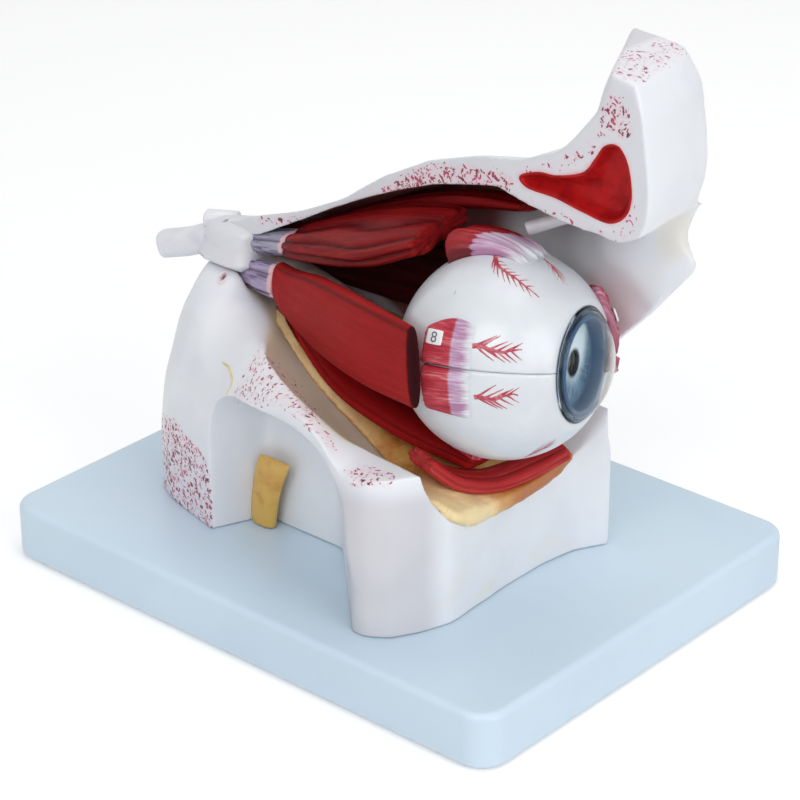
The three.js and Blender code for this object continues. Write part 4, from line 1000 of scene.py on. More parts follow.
def strapRings(rows, stations=110, sides=88, bundles=0, depth=0.0, fibre=0.0, seed=0.0, edge=1.4,
               low=None, high=None, stain=(), fold=3.0):
    path = np.array([row[:3] for row in rows], float)
    table = [(i / (len(rows) - 1), *row[3:]) for i, row in enumerate(rows)]
    fine = np.linspace(0, 1, 400)
    line = np.array([pathPoint(path, t) for t in fine])
    along = np.concatenate([[0], np.cumsum(np.linalg.norm(np.diff(line, axis=0), axis=1))])
    start = 0 if low is None else float(np.interp(low, line[:, 0], along))
    length = along[-1] if high is None else float(np.interp(high, line[:, 0], along))
    bend = np.linspace(0, math.pi / 2, 6)
    head = [(edge * (1 - math.cos(b)), edge * (1 - math.sin(b))) for b in bend]
    middle = [(s, 0.0) for s in np.linspace(start + edge, length - edge, stations)[1:-1]]
    places = [*[(start + s, inset) for s, inset in head], *middle,
              *[(length - s, inset) for s, inset in head[::-1]]]
    rings, grain, groove, shadingMasks = [], [], [], []
    turn = 2 * math.pi * (np.arange(sides) + 0.5) / sides
    c, d = np.cos(turn), np.sin(turn)
    for s, inset in places:
        t = float(np.interp(s, along, fine))
        centre = pathPoint(path, t)
        ahead = unit(pathPoint(path, min(t + 0.004, 1)) - pathPoint(path, max(t - 0.004, 0)))
        width, thickness, lean = rowAt(table, t)
        flat = unit(np.cross((0, 0, 1), ahead))
        rise = unit(np.cross(ahead, flat))
        broad = flat * math.cos(math.radians(lean)) + rise * math.sin(math.radians(lean))
        thin = np.cross(ahead, broad)
        wander = 0.2 * noise.noise(Vector((s / 40, seed, 0))) + 0.12 * np.array(
            [noise.noise(Vector((s / 30, a, seed + 5))) for a in c])
        furrow = np.abs(np.sin(bundles * (turn + wander) / 2)) if bundles else np.ones(sides)
        furrow = (1 - furrow) ** fold
        strand = np.array([noise.noise(Vector((a * 9, b * 9, s / 45 + seed))) for a, b in zip(c, d)])
        let = furrow * depth + (strand * 0.5 + 0.5) * fibre + inset
        u = np.sign(c) * np.abs(c) ** 0.75 * np.maximum(width / 2 - let, 0.2)
        v = np.sign(d) * np.abs(d) ** 0.75 * np.maximum(thickness / 2 - let, 0.2)
        ring = centre + u[:, None] * broad + v[:, None] * thin
        square = max(smoothStep(12, 0, s - start) if low is not None else 0,
                     smoothStep(12, 0, length - s) if high is not None else 0)
        ring[:, 0] += (centre[0] - ring[:, 0]) * square
        rings.append(ring)
        # painted shade at the back end, on the front end and along the edges; the end kind paints the stubs'
        # highlight
        shadingKinds = {"start": smoothStep(4.5, 0, s - start), "end": smoothStep(3.4, 2.2, length - s),
                  "front": smoothStep(1.2, 0.4, length - s),
                  "edge": (0.6 * np.exp(-((turn - 0.5) / 0.13) ** 2)
                           + 0.5 * np.exp(-((turn - 5.9) / 0.3) ** 2))}
        shadingMasks.append(np.clip(np.zeros(sides) + sum(shadingKinds[kind] for kind in stain), 0, 1))
        grain.append(np.stack([c * width / 2, d * width / 3, np.full(sides, s * 0.045 + seed * 3)], 1))
        groove.append(furrow)
    return np.array(rings), np.array(grain), np.array(groove), np.array(shadingMasks)


def strapSkin(rows, **shape):
    rings, grain, groove, shadingMasks = strapRings(rows, **shape)
    points, faces = ringSkin(rings)
    grain = np.concatenate([grain.reshape(-1, 3), [grain[0].mean(0), grain[-1].mean(0)]])
    groove = np.concatenate([groove.ravel(), [0.3, 0.3]])
    shadingMasks = np.concatenate([shadingMasks.ravel(), [shadingMasks[0].mean(), shadingMasks[-1].mean()]])
    return points, faces, {"grain": grain, "groove": groove * 0.9, "stain": shadingMasks}


# Points that would lie in the eyeball's room are pushed out to its surface
def clearOfEye(points, room=0.35):
    centre = np.array(eye["centre"], float)
    away = points - centre
    reach = np.linalg.norm(away, axis=1, keepdims=True)
    return centre + away * np.maximum(reach, eye["radius"] + room) / reach


pinSlots = {"superior_rectus": (-6.8, 135.2), "lateral_rectus": (-14.5, 119.4)}
pinEnds = (-58, -42)
musclePull = (-0.98, 0.199)


def slotCutter(y, z):
    reach, half = 22, 2.0
    ring = []
    for turn in np.linspace(-90, 90, 13):
        p, q = half * math.cos(math.radians(turn)), half * math.sin(math.radians(turn))
        ring.append((y + p * musclePull[0] - q * musclePull[1], z + p * musclePull[1] + q * musclePull[0]))
    for q in (half, -half):
        ring.append((y - reach * musclePull[0] - q * musclePull[1],
                     z - reach * musclePull[1] + q * musclePull[0]))
    return ringSkin([[(x, a, b) for a, b in ring] for x in (pinEnds[0] - 1, pinEnds[1] + 1)])


def makeMuscles():
    for node, look in muscles.items():
        shape = {key: value for key, value in look.items() if key not in ("paint", "body")}
        points, faces, names = strapSkin(**shape)
        words = node.split("_")
        piece = makeObject(words[0] + "".join(w.capitalize() for w in words[1:]),
                           clearOfEye(points), faces, look["paint"], names)
        if node in pinSlots:
            cutAway(piece, [slotCutter(*pinSlots[node])])
        settle(piece, look["body"], "muscle_red", node)


makeMuscles()

stubs = {
    "superior_tendon_stub": ([(-71, -4.9, 129, 11.3, 9, 8), (-65, -5.6, 130.8, 12.6, 9.4, 8),
                              (-57, -6.4, 133.2, 14, 9.8, 8), (-47, -7.7, 136.4, 15.4, 10, 8)], -48.4),
    "lateral_tendon_stub": ([(-80, -9, 112, 12, 7, 86), (-71, -10, 116.5, 12, 8, 86),
                             (-61, -12, 118.2, 14.5, 9.5, 86), (-50, -14.2, 120.4, 15.8, 10, 86)], -51.4),
}
for node, (rows, end) in stubs.items():
    # the end kind paints a pale pink highlight on each stub's cut end
    points, faces, names = strapSkin(rows, stations=60, sides=72, bundles=5, depth=0.9, fibre=0.2,
                                     seed=30 + len(node), edge=1.0, high=end, stain=("end",), fold=2.0)
    makePiece(node.split("_")[0] + "TendonStub", (points, faces),
              tendonGrey if node.startswith("superior") else tendonLilac, "orbit", "tendon_lilac",
              node, attributes=names)
for node, (y, z) in pinSlots.items():
    name = node.split("_")[0]
    makePiece(name + "Pin", roundedBar((pinEnds[0], y, z), (pinEnds[1], y, z), 1.6, 0.4), nerveWhite,
              "orbit", "metal", name + "_pin")
print("muscles made")

eyeBack = fromEye([-50, 0, 0])
opticRows = [(-70.6, 2.5, 119.5, 8, 8, 0), (-56, 0.5, 119.4, 9, 9, 0), (-38, -5, 120.3, 10, 10, 0),
             (-8, -17, 121.5, 12, 12, 0), (*(eyeBack - np.array((0.3, 0, 0))), 12, 12, 0)]
points, faces, names = strapSkin(opticRows, stations=70, sides=40, fibre=0.2, seed=41.0, edge=0.4)
makePiece("opticNerve", (points, faces), opticNervePaint, "orbit", "nerve_white", "optic_nerve",
          attributes=names)
canalRows = [(-126.5, -4.2, 111.9, 12, 12, 0), (-114, -3, 116, 12, 12, 0),
             (-103, -1.4, 120.6, 12.5, 12.5, 0), (-92, 0, 124.5, 15, 15, 0)]
points, faces, names = strapSkin(canalRows, stations=40, sides=48, seed=45.0, edge=0.4)
makePiece("opticCanalTube", (points, faces), nerveWhite, "orbit", "nerve_white", "optic_canal_tube",
          attributes=names)
arteryProfile = [(0, 4.6), (0.9, 4.22)]
arteryProfile += [(0.9 + 0.1 * math.sin(b), 4.2 - 2 * (1 - math.cos(b)))
                  for b in np.linspace(0.1, math.pi / 2, 6)]
makePiece("arteryStub", barSkin((-89, 1, 130.6), (-103, -3, 129.6), arteryProfile, 40), nerveWhite,
          "orbit", "nerve_white", "artery_stub")
makePiece("superiorObliqueTendon", roundedBar((60, 7, 167.6), (79, 24.1, 176.5), 2.8, 0.8, 40), nerveWhite,
          "orbit", "nerve_white", "superior_oblique_tendon")
print("nerves and tubes made")


# Eyeball

def scleraMaterial(look):
    material, tree, shader = startMaterial("scleraWhite")
    skin = placeCastSkin(tree, look)
    tree.links.new(skin["Colour"], shader["Base Color"])
    shader["Roughness"].default_value = 0.3
    shader["Coat Weight"].default_value = 0.3
    shader["Coat Roughness"].default_value = 0.15
    bumpInto(tree, shader, skin["Height"], look["bump"])
    return material


scleraLook = {"colour": paint(216, 221, 226), "shade": paint(206, 208, 216), "patch": 60.0,
              "amount": 0.4, "bump": 0.00006}
scleraWhite = scleraMaterial(scleraLook)


def halfShell(outer, inner, front, side, edge, rings=90, around=96):
    gap = eye["seamGap"]
    outerFront, innerFront = math.acos(front / outer), math.acos(min(front / inner, 0.999))
    rows = []
    for share in np.linspace(0, 1, rings):
        a = math.pi + (outerFront - math.pi) * share
        b = math.pi + (innerFront - math.pi) * share
        ring = []
        for radius, turnTo, facing in ((outer, a, 1), (inner, b, -1)):
            hoop = radius * math.sin(turnTo)
            x = radius * math.cos(turnTo)
            for turn in np.linspace(0, math.pi, around)[::facing]:
                z = hoop * math.sin(turn)
                y = hoop * math.cos(turn)
                low = gap + edge
                if z < low and hoop > 0:
                    y = math.copysign(math.sqrt(max(hoop ** 2 - z ** 2, 0)), y)
                    z = max(z, gap)
                    sunk = edge - math.sqrt(max(edge ** 2 - (low - z) ** 2, 0)) if edge else 0
                    y -= math.copysign(min(sunk, abs(y)), y) * facing
                ring.append((x, y, z * side))
        rows.append(ring)
    rows = np.array(rows)
    count = rows.shape[1]
    half = count // 2
    points = rows.reshape(-1, 3)
    faces = gridFaces(rings, count).tolist()
    base = (rings - 1) * count
    for k in range(half - 1):
        faces.append((base + k, base + k + 1, base + count - 2 - k, base + count - 1 - k))
    return fromEye(points), facingOut(fromEye(points), faces)


for side, half in ((1, "upper"), (-1, "lower")):
    body = "eyeball_" + half
    makePiece("sclera" + half.capitalize(),
              halfShell(eye["radius"], eye["radius"] - eye["wall"], eye["frontPlane"], side,
                        eye["seamRound"]),
              scleraWhite, body, "sclera_white", "sclera_" + half, joined=True)
    makePiece("choroid" + half.capitalize(),
              halfShell(eye["choroidOuter"], eye["choroidOuter"] - eye["choroidWall"], eye["choroidFront"],
                        side, 0.2, 60, 72),
              choroidBrown, body, "choroid_brown", "choroid_" + half, joined=True)
print("sclera and choroid made")


# Patches where the muscles run into the sclera: bearing and height on the ball, in degrees

patches = {
    "lateral": {"middle": -94.7, "back": 15, "front": 13.5, "liftBack": 3.4, "liftFront": 0.8, "top": False,
                "bevel": 0.06, "torn": 1.0, "ridge": 3.4, "lobes": 0, "cleft": 0.0, "turn": (0.6, 0.6)},
    "medial": {"middle": 67.3, "back": 14, "front": 36, "liftBack": 2.6, "liftFront": 4.2, "top": False,
               "bevel": 0.06, "torn": 0.3, "ridge": 5.0, "lobes": 0, "cleft": 0.0, "turn": (1.0, 1.0)},
    "superior": {"middle": -90, "back": 30, "front": 20, "liftBack": 13.5, "liftFront": 0.8, "top": True,
                 "bevel": 0.2, "torn": 1.0, "ridge": 4.4, "lobes": 2, "cleft": 0.62, "turn": (0.32, 0.8)},
    "inferior": {"middle": 90, "back": -8, "front": 26, "liftBack": 2.2, "liftFront": 0.8, "top": True,
                 "bevel": 0.06, "torn": 1.0, "ridge": 4.0, "lobes": 0, "cleft": 0.0, "turn": (0.7, 0.7)},
}


def onBall(look, along, across, radius):
    a, b = math.radians(across), 0.0
    if look["top"]:
        b = math.radians(along + look["middle"])
        x, y = radius * math.cos(a), radius * math.sin(a)
        return (x * math.cos(b), y, -x * math.sin(b))
    forward = 1 if look["middle"] < 0 else -1
    b = math.radians(look["middle"] + along * forward)
    x, z = radius * math.cos(a), radius * math.sin(a)
    return (x * math.cos(b), x * math.sin(b), z)


def patchSkin(look, low, high, edges, seed, rows=90, columns=84):
    touch = eye["radius"] + 0.04
    over, grain, fade, groove = [], [], [], []
    for i in range(rows):
        t = i / (rows - 1)
        along = -look["back"] + (look["back"] + look["front"]) * t
        lift = look["liftBack"] + (look["liftFront"] - look["liftBack"]) * t ** 0.7
        narrow = float(np.polyval(np.polyfit((0, 0.45, 1), edges, 2), t))
        start = math.sqrt(1 - (1 - min(t / look["bevel"], 1)) ** 2) * 0.85 + 0.15
        top, under, shadeLines, shades = [], [], [], []
        for k in range(columns):
            s = k / (columns - 1)
            across = (low + (high - low) * s) * narrow
            strand = noise.noise(Vector((across * 0.55, t * 1.6, seed)))
            broad = noise.noise(Vector((across * 0.16, t * 0.9, seed + 4)))
            ragged = 1 - smoothStep(0.8 + 0.2 * strand, 1.0, t) * look["torn"]
            furrow = (1 - abs(math.sin(math.pi * across / look["ridge"] + 1.5 * broad))) ** 2
            lobe = (1 - abs(math.sin(math.pi * look["lobes"] * s))) ** 2 * (1 - smoothStep(0.25, 0.6, t))
            rounding = min(1.0, (1 - abs(2 * s - 1) ** 7) + 0.02) ** 0.5
            height = lift * (1 + 0.1 * strand + 0.08 * broad) * (1 - look["cleft"] * lobe) - 0.22 * furrow
            height = max(height * rounding * start * ragged, 0.05)
            top.append(onBall(look, along, across, touch + height))
            under.append(onBall(look, along, across, touch))
            grain.append((across * 0.7, seed, t * 2.0))
            # painted shade along the patch's edges, in its furrows and in the cleft between its lobes
            rim = float(smoothStep(0.93, 1.0, abs(2 * s - 1)))
            shadeLines.append(min(1.0, 0.45 * furrow + lobe * (look["cleft"] > 0) + 0.8 * rim))
            turn = look["turn"][0] + (look["turn"][1] - look["turn"][0]) * s
            shades.append(float(np.interp(t, (0, turn, 1.001), (0, 0.5, 1))))
        over.append(top + under[::-1])
        grain += grain[-columns:][::-1]
        fade += shades + shades[::-1]
        groove += shadeLines + shadeLines[::-1]
    points, faces = ringSkin(over)
    grain = [*grain, grain[0], grain[-1]]
    names = {"grain": grain, "fade": [*fade, 0, fade[-1]], "groove": [*groove, 0.5, 0]}
    return fromEye(points), faces, names


seamDegrees = math.degrees(math.asin((eye["seamGap"] + 0.1) / eye["radius"]))
# Name, kind, low and high side in degrees, their reach at back, middle and front, body, node, seed
patchPlan = [
    ("lateralInsertionUpper", "lateral", seamDegrees, 25.5, (0.76, 1, 0.9), "eyeball_upper",
     "lateral_insertion_upper", 2.0),
    ("lateralInsertionLower", "lateral", -28, -seamDegrees, (0.88, 0.94, 1), "eyeball_lower",
     "lateral_insertion_lower", 7.0),
    ("medialInsertionUpper", "medial", seamDegrees, 40, (0.7, 0.9, 1), "eyeball_upper",
     "medial_insertion_upper", 11.0),
    ("medialInsertionLower", "medial", -20, -seamDegrees, (1, 0.8, 0.4), "eyeball_lower",
     "medial_insertion_lower", 15.0),
    ("superiorInsertion", "superior", -19, 16, (1, 0.95, 1), "eyeball_upper", "superior_insertion", 19.0),
    ("inferiorInsertion", "inferior", -16, 16, (1, 0.85, 0.95), "eyeball_lower",
     "inferior_insertion", 23.0),
]
for name, kind, low, high, edges, body, node, seed in patchPlan:
    points, faces, names = patchSkin(patches[kind], low, high, edges, seed)
    makePiece(name, (points, faces), deepInsertionRed if kind == "superior" else insertionRed,
              body, "insertion_red", node, attributes=names)
print("insertions made")


def eyeLathe(profile, steps):
    points, faces = latheSkin(profile, steps)
    return fromEye(points), faces


stubProfile = [(-50, 0), (-50, 5), (-49.6, 5.7), (-49, 6), (-41.6, 6), (-41.3, 0)]
makePiece("opticNerveStub", eyeLathe(stubProfile, 48), nerveWhite, "eyeball_lower", "nerve_white",
          "optic_nerve_stub")
for i, side in enumerate((1, -1)):
    turn = math.radians(eye["pegBearing"] * side)
    reach = eye["radius"] - eye["wall"] / 2
    x, y, half = reach * math.cos(turn), reach * math.sin(turn), eye["pegHeight"] / 2
    peg = roundedBar(fromEye((x, y, -half)), fromEye((x, y, half)), eye["pegRadius"], 0.3)
    makePiece(f"seamPeg{i + 1}", peg, nerveWhite, "eyeball_lower", "metal", f"seam_peg_{i + 1}")


# Iris, cornea, lens and vitreous body

def irisMaterial(look):
    material, tree, shader = startMaterial("irisBlue")
    grain = addNode(tree, "Attribute", attribute_name="grain").outputs["Vector"]
    out = painted(tree, "out")
    rays = noiseNode(tree, grain, 1.0, 3, 0.6)
    tone = mixColour(tree, spread(tree, rays, 0.36, 0.66), look["colour"], look["light"])
    # painted reflection: a pale patch above the pupil where a lamp would shine in the cornea
    tone = mixColour(tree, painted(tree, "pale"), tone, look["pale"])
    tone = mixColour(tree, spread(tree, out, 0.74, 0.86), tone, look["rim"])
    tone = mixColour(tree, spread(tree, out, 0.12, 0.0), tone, look["inner"])
    tree.links.new(tone, shader["Base Color"])
    shader["Roughness"].default_value = 0.35
    bumpInto(tree, shader, rays, 0.0003)
    return material


def clearMaterial(name, look):
    material, tree, shader = startMaterial(name)
    where = addNode(tree, "TexCoord").outputs["Object"]
    faint = noiseNode(tree, where, 60, 2)
    tone = mixColour(tree, faint, look["colour"], look["shade"])
    if "grazing" in look:  # thick plastic looks smoky where it is seen edge on and where it is seated
        aslant = spread(tree, addNode(tree, "LayerWeight", {"Blend": 0.5}).outputs["Facing"], 0.5, 0.92)
        tone = mixColour(tree, aslant, tone, look["grazing"])
        tone = mixColour(tree, painted(tree, "foot"), tone, look["foot"])
    tree.links.new(tone, shader["Base Color"])
    shader["Specular IOR Level"].default_value = look.get("shine", 0.5)
    tree.links.new(spread(tree, faint, 0.3, 0.7, look["smooth"], look["smooth"] + 0.03), shader["Roughness"])
    shader["Transmission Weight"].default_value = look["clear"]
    shader["IOR"].default_value = look["ior"]
    return material


irisLook = {"colour": paint(84, 116, 140), "light": paint(132, 164, 186), "rim": paint(34, 88, 128),
            "inner": paint(14, 30, 46), "pale": paint(236, 247, 252)}
corneaLook = {"colour": paint(238, 242, 244), "shade": paint(230, 235, 237), "smooth": 0.02, "shine": 0.14,
              "clear": 1.0, "ior": 1.24, "grazing": paint(150, 134, 126), "foot": paint(120, 158, 186)}
lensLook = {"colour": paint(250, 250, 240), "shade": paint(244, 244, 232), "smooth": 0.02,
            "clear": 1.0, "ior": 1.45, "shine": 0.2}
vitreousLook = {"colour": paint(236, 246, 250), "shade": paint(228, 240, 246), "smooth": 0.03,
                "clear": 1.0, "ior": 1.34, "shine": 0.2}
irisBlue = irisMaterial(irisLook)
corneaClear = clearMaterial("corneaClear", corneaLook)
lensClear = clearMaterial("lensClear", lensLook)
vitreousClear = clearMaterial("vitreousClear", vitreousLook)


def irisSkin(spokes=240, rings=36):
    seat = eye["frontPlane"] + eye["touch"]
    top, floor = seat + eye["irisThickness"], eye["cupFloor"]
    inner, cup, outer = eye["pupilRadius"], eye["cupRadius"], eye["irisRadius"]
    profile = []  # place along the axis, radius, how far out the paint is, how rough
    for i in range(rings):
        t = i / (rings - 1)
        profile.append((floor + 0.5 * (1 - t) ** 2, inner + (cup - inner) * t, 0.84 * t, 1.0))
    profile += [(floor + (top - floor) * t, cup + 0.15 * t, 0.86 + 0.12 * t, 0.2)
                for t in (0.15, 0.5, 0.85, 0.97)]
    profile += [(top, cup + 0.4, 0.98, 0.2), (top, outer - 0.3, 1.0, 0.2), (top - 0.3, outer, 1.0, 0.0),
                (seat, outer, 1.0, 0.0), (seat, cup + 0.3, 1.0, 0.0), (floor - 0.4, cup + 0.2, 1.0, 0.0),
                (floor - 0.4, inner, 0.0, 0.0)]
    points, grain, out, pale = [], [], [], []
    for place, radius, share, rough in profile:
        for k in range(spokes):
            turn = 2 * math.pi * k / spokes
            c, s = math.cos(turn), math.sin(turn)
            ray = noise.noise(Vector((c * 9, s * 9, share * 1.2)))
            pit = noise.noise(Vector((c * 3.2, s * 3.2, share * 3 + 7)))
            wave = (0.22 * ray + 0.12 * pit) * rough * math.sin(math.pi * min(share / 0.84, 1)) ** 0.4
            points.append((place + wave, radius * c, radius * s))
            grain.append((c * 14, s * 14, share * 1.6))
            out.append(share)
            # painted reflection: paler above the pupil
            pale.append(1 - float(smoothStep(6.5, 14, math.hypot(radius * c - 1, (radius * s - 7) * 0.8))))
    faces = gridFaces(len(profile), spokes).tolist()
    last = (len(profile) - 1) * spokes
    faces += [(last + k, last + (k + 1) % spokes, (k + 1) % spokes, k) for k in range(spokes)]
    points = fromEye(points)
    return points, facingOut(points, faces), {"grain": grain, "out": out, "pale": pale}


def dome(apex, foot, radius, steps):
    height = apex - foot
    ball = (radius ** 2 + height ** 2) / (2 * height)
    sweep = math.atan2(radius, ball - height)
    return [(apex - ball + ball * math.cos(t), ball * math.sin(t)) for t in np.linspace(0, sweep, steps)]


def lensProfile(grow, steps=24):
    half = eye["lensThickness"] / 2 + grow
    rim = eye["lensRadius"] + grow
    radius = (rim ** 2 + half ** 2) / (2 * half)
    sweep = math.asin(rim / radius)
    back = [(eye["lensPlane"] - half + radius - radius * math.cos(t), radius * math.sin(t))
            for t in np.linspace(0, sweep, steps)]
    return back + [(2 * eye["lensPlane"] - x, r) for x, r in back[-2::-1]]


def makeFront():
    points, faces, names = irisSkin()
    makePiece("iris", (points, faces), irisBlue, "front_chamber", "iris_blue", "iris", attributes=names)
    seat = eye["frontPlane"] + eye["touch"]
    outside = dome(eye["corneaApex"], seat, eye["corneaRadius"], 40)
    inside = dome(eye["corneaApex"] - eye["corneaWall"], seat + eye["irisThickness"],
                  eye["corneaRadius"] - eye["corneaWall"], 36)
    profile = [*outside, (seat, eye["corneaRadius"] - eye["corneaWall"]), *inside[::-1]]
    points, faces = latheSkin(profile, 128)
    foot = smoothStep(seat + 2.2, seat + 0.6, points[:, 0])
    makePiece("cornea", (fromEye(points), faces), corneaClear, "front_chamber", "cornea_clear", "cornea",
              attributes={"foot": foot * 0.8}, joined=True)
    makePiece("lens", eyeLathe(lensProfile(0), 96), lensClear, "lens_body", "lens_clear", "lens",
              joined=True)
    radius, plane = eye["vitreousRadius"], eye["lensPlane"]
    sweep = math.acos(plane / radius)
    ball = [(-radius * math.cos(t), radius * math.sin(t)) for t in np.linspace(0, math.pi - sweep, 60)]
    seatOfLens = [(x, r) for x, r in lensProfile(eye["touch"]) if x <= plane][::-1]
    makePiece("vitreousBody", eyeLathe([*ball, *seatOfLens], 96), vitreousClear, "vitreous",
              "vitreous_clear", "vitreous_body", joined=True)


makeFront()
print("front of the eye made")


# Vessels painted on the sclera: flat raised strokes that fork like feathers

vesselPlan = [  # body, start and end as bearing and height in degrees, how wide, how many side twigs
    ("eyeball_upper", (-81.5, 12.8), (-54.8, 11.5), 2.0, 6, 1.0),
    ("eyeball_lower", (-79, -14.3), (-55.5, -12), 2.0, 5, 2.0),
    ("eyeball_upper", (-92, 73), (-42, 42), 1.8, 8, 3.0),
    ("eyeball_upper", (-6, 69), (-15, 50), 0.8, 5, 4.0),
    ("eyeball_upper", (55, 13), (27, 11), 0.9, 6, 5.0),
    ("eyeball_lower", (-31, -63), (-19, -43), 0.7, 6, 6.0),
]


def ballPoint(bearing, height, lift=0.0):
    a, b, radius = math.radians(bearing), math.radians(height), eye["radius"] + lift
    return np.array((radius * math.cos(b) * math.cos(a), radius * math.cos(b) * math.sin(a),
                     radius * math.sin(b)))


def strokeSkin(line, widths, rise=0.16):
    line = np.asarray(line, float)
    ahead = unit(np.gradient(line, axis=0))
    outward = unit(line)
    aside = unit(np.cross(outward, ahead))
    rings = []
    for point, side, out, width in zip(line, aside, outward, widths):
        ring = []
        for turn in np.linspace(0, 2 * math.pi, 8, endpoint=False):
            flat = math.cos(turn) * width / 2
            up = max(math.sin(turn), -0.25) * min(rise, width * 0.3)
            ring.append(point + side * flat + out * up)
        rings.append(ring)
    return ringSkin(rings)


def vesselSkins(start, end, width, twigs, seed, steps=40, twigSteps=14):
    base = []
    for i in range(steps + 1):
        t = i / steps
        sway = 1.2 * math.sin(t * 7 + seed) + 0.8 * noise.noise(Vector((t * 5, seed, 0)))
        base.append((start[0] + (end[0] - start[0]) * t,
                     start[1] + (end[1] - start[1]) * t + sway * min(1, t * 4)))
    line = [ballPoint(a, b, 0.03) for a, b in base]
    skins = [strokeSkin(line, [width * (1 - 0.75 * i / steps) for i in range(steps + 1)])]
    run = np.array(end, float) - np.array(start, float)
    run /= np.linalg.norm(run)
    for k in range(twigs):
        at = int(steps * (0.08 + 0.86 * k / twigs))
        for side in (1, -1):
            jitter = noise.noise(Vector((k * 3.7, side, seed)))
            lean = math.radians(36 + 14 * jitter)
            reach = (13 - 6.0 * k / twigs) * (0.8 + 0.5 * abs(noise.noise(Vector((k, side * 2, seed + 9)))))
            heading = np.array((run[0] * math.cos(lean) - side * run[1] * math.sin(lean),
                                run[1] * math.cos(lean) + side * run[0] * math.sin(lean)))
            twig = []
            for i in range(twigSteps + 1):
                t = i / twigSteps
                bend = side * 1.6 * t * t + 0.5 * noise.noise(Vector((t * 4, k, seed + side)))
                place = np.array(base[at]) + heading * reach * t + run * reach * 0.25 * t * t
                place = place + np.array((-heading[1], heading[0])) * bend * 0.4
                twig.append(ballPoint(place[0], place[1], 0.02))
            thick = width * (0.62 - 0.2 * k / twigs)
            thin = [thick * (1 - 0.8 * i / twigSteps) for i in range(twigSteps + 1)]
            skins.append(strokeSkin(twig, thin))
    return skins


def joinSkins(skins):
    points, faces, base = [], [], 0
    for skinPoints, skinFaces in skins:
        points.append(skinPoints)
        faces += [tuple(k + base for k in face) for face in skinFaces]
        base += len(skinPoints)
    return np.concatenate(points), faces


vesselLook = {"colour": paint(172, 46, 66), "shade": paint(214, 140, 150), "patch": 300.0,
              "amount": 0.9, "bump": 0.00004, "coat": 0.2}
vesselRed = castMaterial("vesselRed", vesselLook)
for body, label in (("eyeball_upper", "vesselsUpper"), ("eyeball_lower", "vesselsLower")):
    skins = []
    for where, start, end, width, twigs, seed in vesselPlan:
        if where == body:
            skins += vesselSkins(start, end, width, twigs, seed)
    points, faces = joinSkins(skins)
    makePiece(label, (fromEye(points), faces), vesselRed, body, "insertion_red")
print("vessels painted")


# Small white tags and a mark with plain digits
tagLook = {"colour": paint(232, 234, 236), "shade": paint(222, 226, 228), "patch": 300.0, "amount": 0.5,
           "bump": 0.00003, "coat": 0.3}
inkLook = {"colour": paint(96, 104, 110), "shade": paint(120, 128, 132), "patch": 300.0, "amount": 0.5,
           "bump": 0.00002}
digitShare = 0.72  # of a tag's half height
tagWhite = castMaterial("tagWhite", tagLook)
tagInk = castMaterial("tagInk", inkLook)
tagPlan = [  # body, slot, bearing and height of the middle, half width and height in degrees, lifts, digit
    ("eyeball_upper", "insertion_red", (-102.6, 14.2), (4.6, 3.7), (2.95, 2.15), "8"),
    ("eyeball_upper", "insertion_red", (34.8, 21.5), (3.0, 3.4), (4.0, 3.7), "7"),
    ("eyeball_upper", "sclera_white", (-102.9, 39.7), (1.0, 1.6), (0.0, 0.0), "1"),
]


def tagSkin(middle, half, lifts, steps=12):
    over, under = [], []
    for i in range(steps + 1):
        u = 2 * i / steps - 1
        lift = lifts[0] + (lifts[1] - lifts[0]) * (u + 1) / 2
        corner = 1 - 0.12 * abs(u) ** 6
        column = [(middle[0] + half[0] * u, middle[1] + half[1] * corner * v)
                  for v in np.linspace(-1, 1, steps)]
        over.append([ballPoint(a, b, lift + 0.25) for a, b in column])
        under.append([ballPoint(a, b, lift - 0.5) for a, b in column])
    return ringSkin([top + low[::-1] for top, low in zip(over, under)])


def digitSkin(middle, half, lifts, digit):
    letter = bpy.data.curves.new("digit", "FONT")
    letter.body, letter.extrude = digit, 0.05
    shape = bpy.data.objects.new("digit", letter)
    scene.collection.objects.link(shape)
    bpy.context.view_layer.update()
    mesh = bpy.data.meshes.new_from_object(shape.evaluated_get(bpy.context.evaluated_depsgraph_get()))
    spots = np.array([v.co[:] for v in mesh.vertices])
    faces = [tuple(face.vertices) for face in mesh.polygons]
    bpy.data.objects.remove(shape)
    middleOf, size = (spots.max(0) + spots.min(0)) / 2, (spots.max(0) - spots.min(0)).max() / 2
    points = []
    for flatX, flatY, level in (spots - middleOf) / size:
        u, v = flatX * half[1] * digitShare / half[0], flatY * digitShare
        lift = lifts[0] + (lifts[1] - lifts[0]) * (u + 1) / 2 + (0.27 if lifts[0] else 0.02)
        points.append(ballPoint(middle[0] + half[0] * u, middle[1] + half[1] * v, lift + 0.06 * (level > 0)))
    return fromEye(points), faces


for i, (body, slot, middle, half, lifts, digit) in enumerate(tagPlan):
    if lifts[0]:
        points, faces = tagSkin(middle, half, lifts)
        makePiece(f"tag{i + 1}", (fromEye(points), faces), tagWhite, body, slot)
    makePiece(f"digit{i + 1}", digitSkin(middle, half, lifts, digit), tagInk, body, slot)
print("tags made")


# What stays as the solids have it
metalLook = {"colour": paint(176, 180, 186), "shade": paint(150, 154, 160), "patch": 300.0,
             "amount": 0.7, "bump": 0.00003}
screwSteel = castMaterial("screwSteel", metalLook)
screwSteel.node_tree.nodes["Principled BSDF"].inputs["Metallic"].default_value = 1.0
for i in range(len(screwPlaces)):
    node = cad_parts[f"base_screw_{i + 1}"]
    node.data.materials.clear()
    node.data.materials.append(screwSteel)


# Camera, light and floor

view = {"place": (716.4, -819.2, 623.8), "target": (-68.0, 80.3, 24.5), "lens": 134.7}


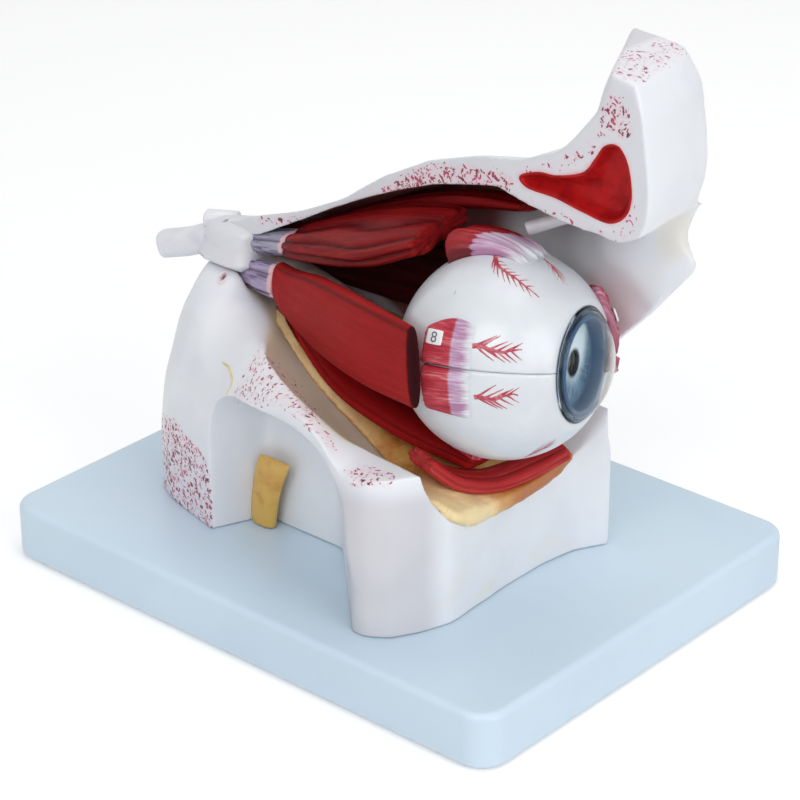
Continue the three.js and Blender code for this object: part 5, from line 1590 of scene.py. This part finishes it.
def makeCamera():
    camera = bpy.data.objects.new("camera", bpy.data.cameras.new("camera"))
    scene.collection.objects.link(camera)
    camera.data.lens = view["lens"]
    camera.data.sensor_width = 36
    camera.location = Vector(view["place"]) * mm
    ahead = (Vector(view["target"]) - Vector(view["place"]))
    camera.rotation_euler = ahead.to_track_quat("-Z", "Y").to_euler()
    scene.camera = camera


lamps = {  # place in metres, size, watts
    "key": ((0.55, -1.5, 1.35), 1.1, 12.5),
    "side": ((1.6, -0.3, 0.9), 1.1, 10.5),
    "top": ((0.1, 0.4, 1.9), 1.4, 9.5),
    "left": ((-1.5, -0.9, 0.7), 1.2, 1.0),
}


def makeLamps():
    for name, (place, size, watts) in lamps.items():
        lamp = bpy.data.objects.new(name, bpy.data.lights.new(name, "AREA"))
        scene.collection.objects.link(lamp)
        lamp.data.size, lamp.data.energy = size, watts
        lamp.location = place
        lamp.rotation_euler = (Vector((0, 0, 0.1)) - Vector(place)).to_track_quat("-Z", "Y").to_euler()


# White where the camera, a mirror or clear plastic looks at it, and plain light elsewhere
def seenDirectly(tree):
    rays = addNode(tree, "LightPath").outputs
    seen = mathNode(tree, "MAXIMUM", rays["Is Camera Ray"], rays["Is Transmission Ray"])
    return mathNode(tree, "MAXIMUM", seen, rays["Is Glossy Ray"])


def makeWorld():
    world = bpy.data.worlds.new("studio")
    scene.world = world
    world.use_nodes = True
    tree = world.node_tree
    tree.nodes.clear()
    plain = addNode(tree, "Background", {"Color": (1, 1, 1, 1), "Strength": 0.38})
    white = addNode(tree, "Background", {"Color": (1, 1, 1, 1), "Strength": 1.0})
    mix = addNode(tree, "MixShader", {0: seenDirectly(tree), 1: plain.outputs[0], 2: white.outputs[0]})
    out = addNode(tree, "OutputWorld")
    tree.links.new(mix.outputs[0], out.inputs["Surface"])


def makeFloor():
    material, tree, shader = startMaterial("paleFloor")
    where = addNode(tree, "TexCoord").outputs["Object"]
    tone = mixColour(tree, noiseNode(tree, where, 3.0), paint(244, 244, 245), paint(240, 241, 242))
    tree.links.new(tone, shader["Base Color"])
    shader["Roughness"].default_value = 0.9
    shader["Emission Color"].default_value = (1, 1, 1, 1)
    shader["Emission Strength"].default_value = 0.0
    glow = mathNode(tree, "MULTIPLY", seenDirectly(tree), 0.28)
    tree.links.new(glow, shader["Emission Strength"])
    size = 3000
    floor = makeObject("floor", [(-size, -size, 0), (size, -size, 0), (size, size, 0), (-size, size, 0)],
                       [(0, 1, 2, 3)], material)


makeCamera()
makeLamps()
makeWorld()
makeFloor()
scene.view_settings.view_transform = "Standard"
print("camera, lamps and floor ready")

bpy.context.view_layer.update()
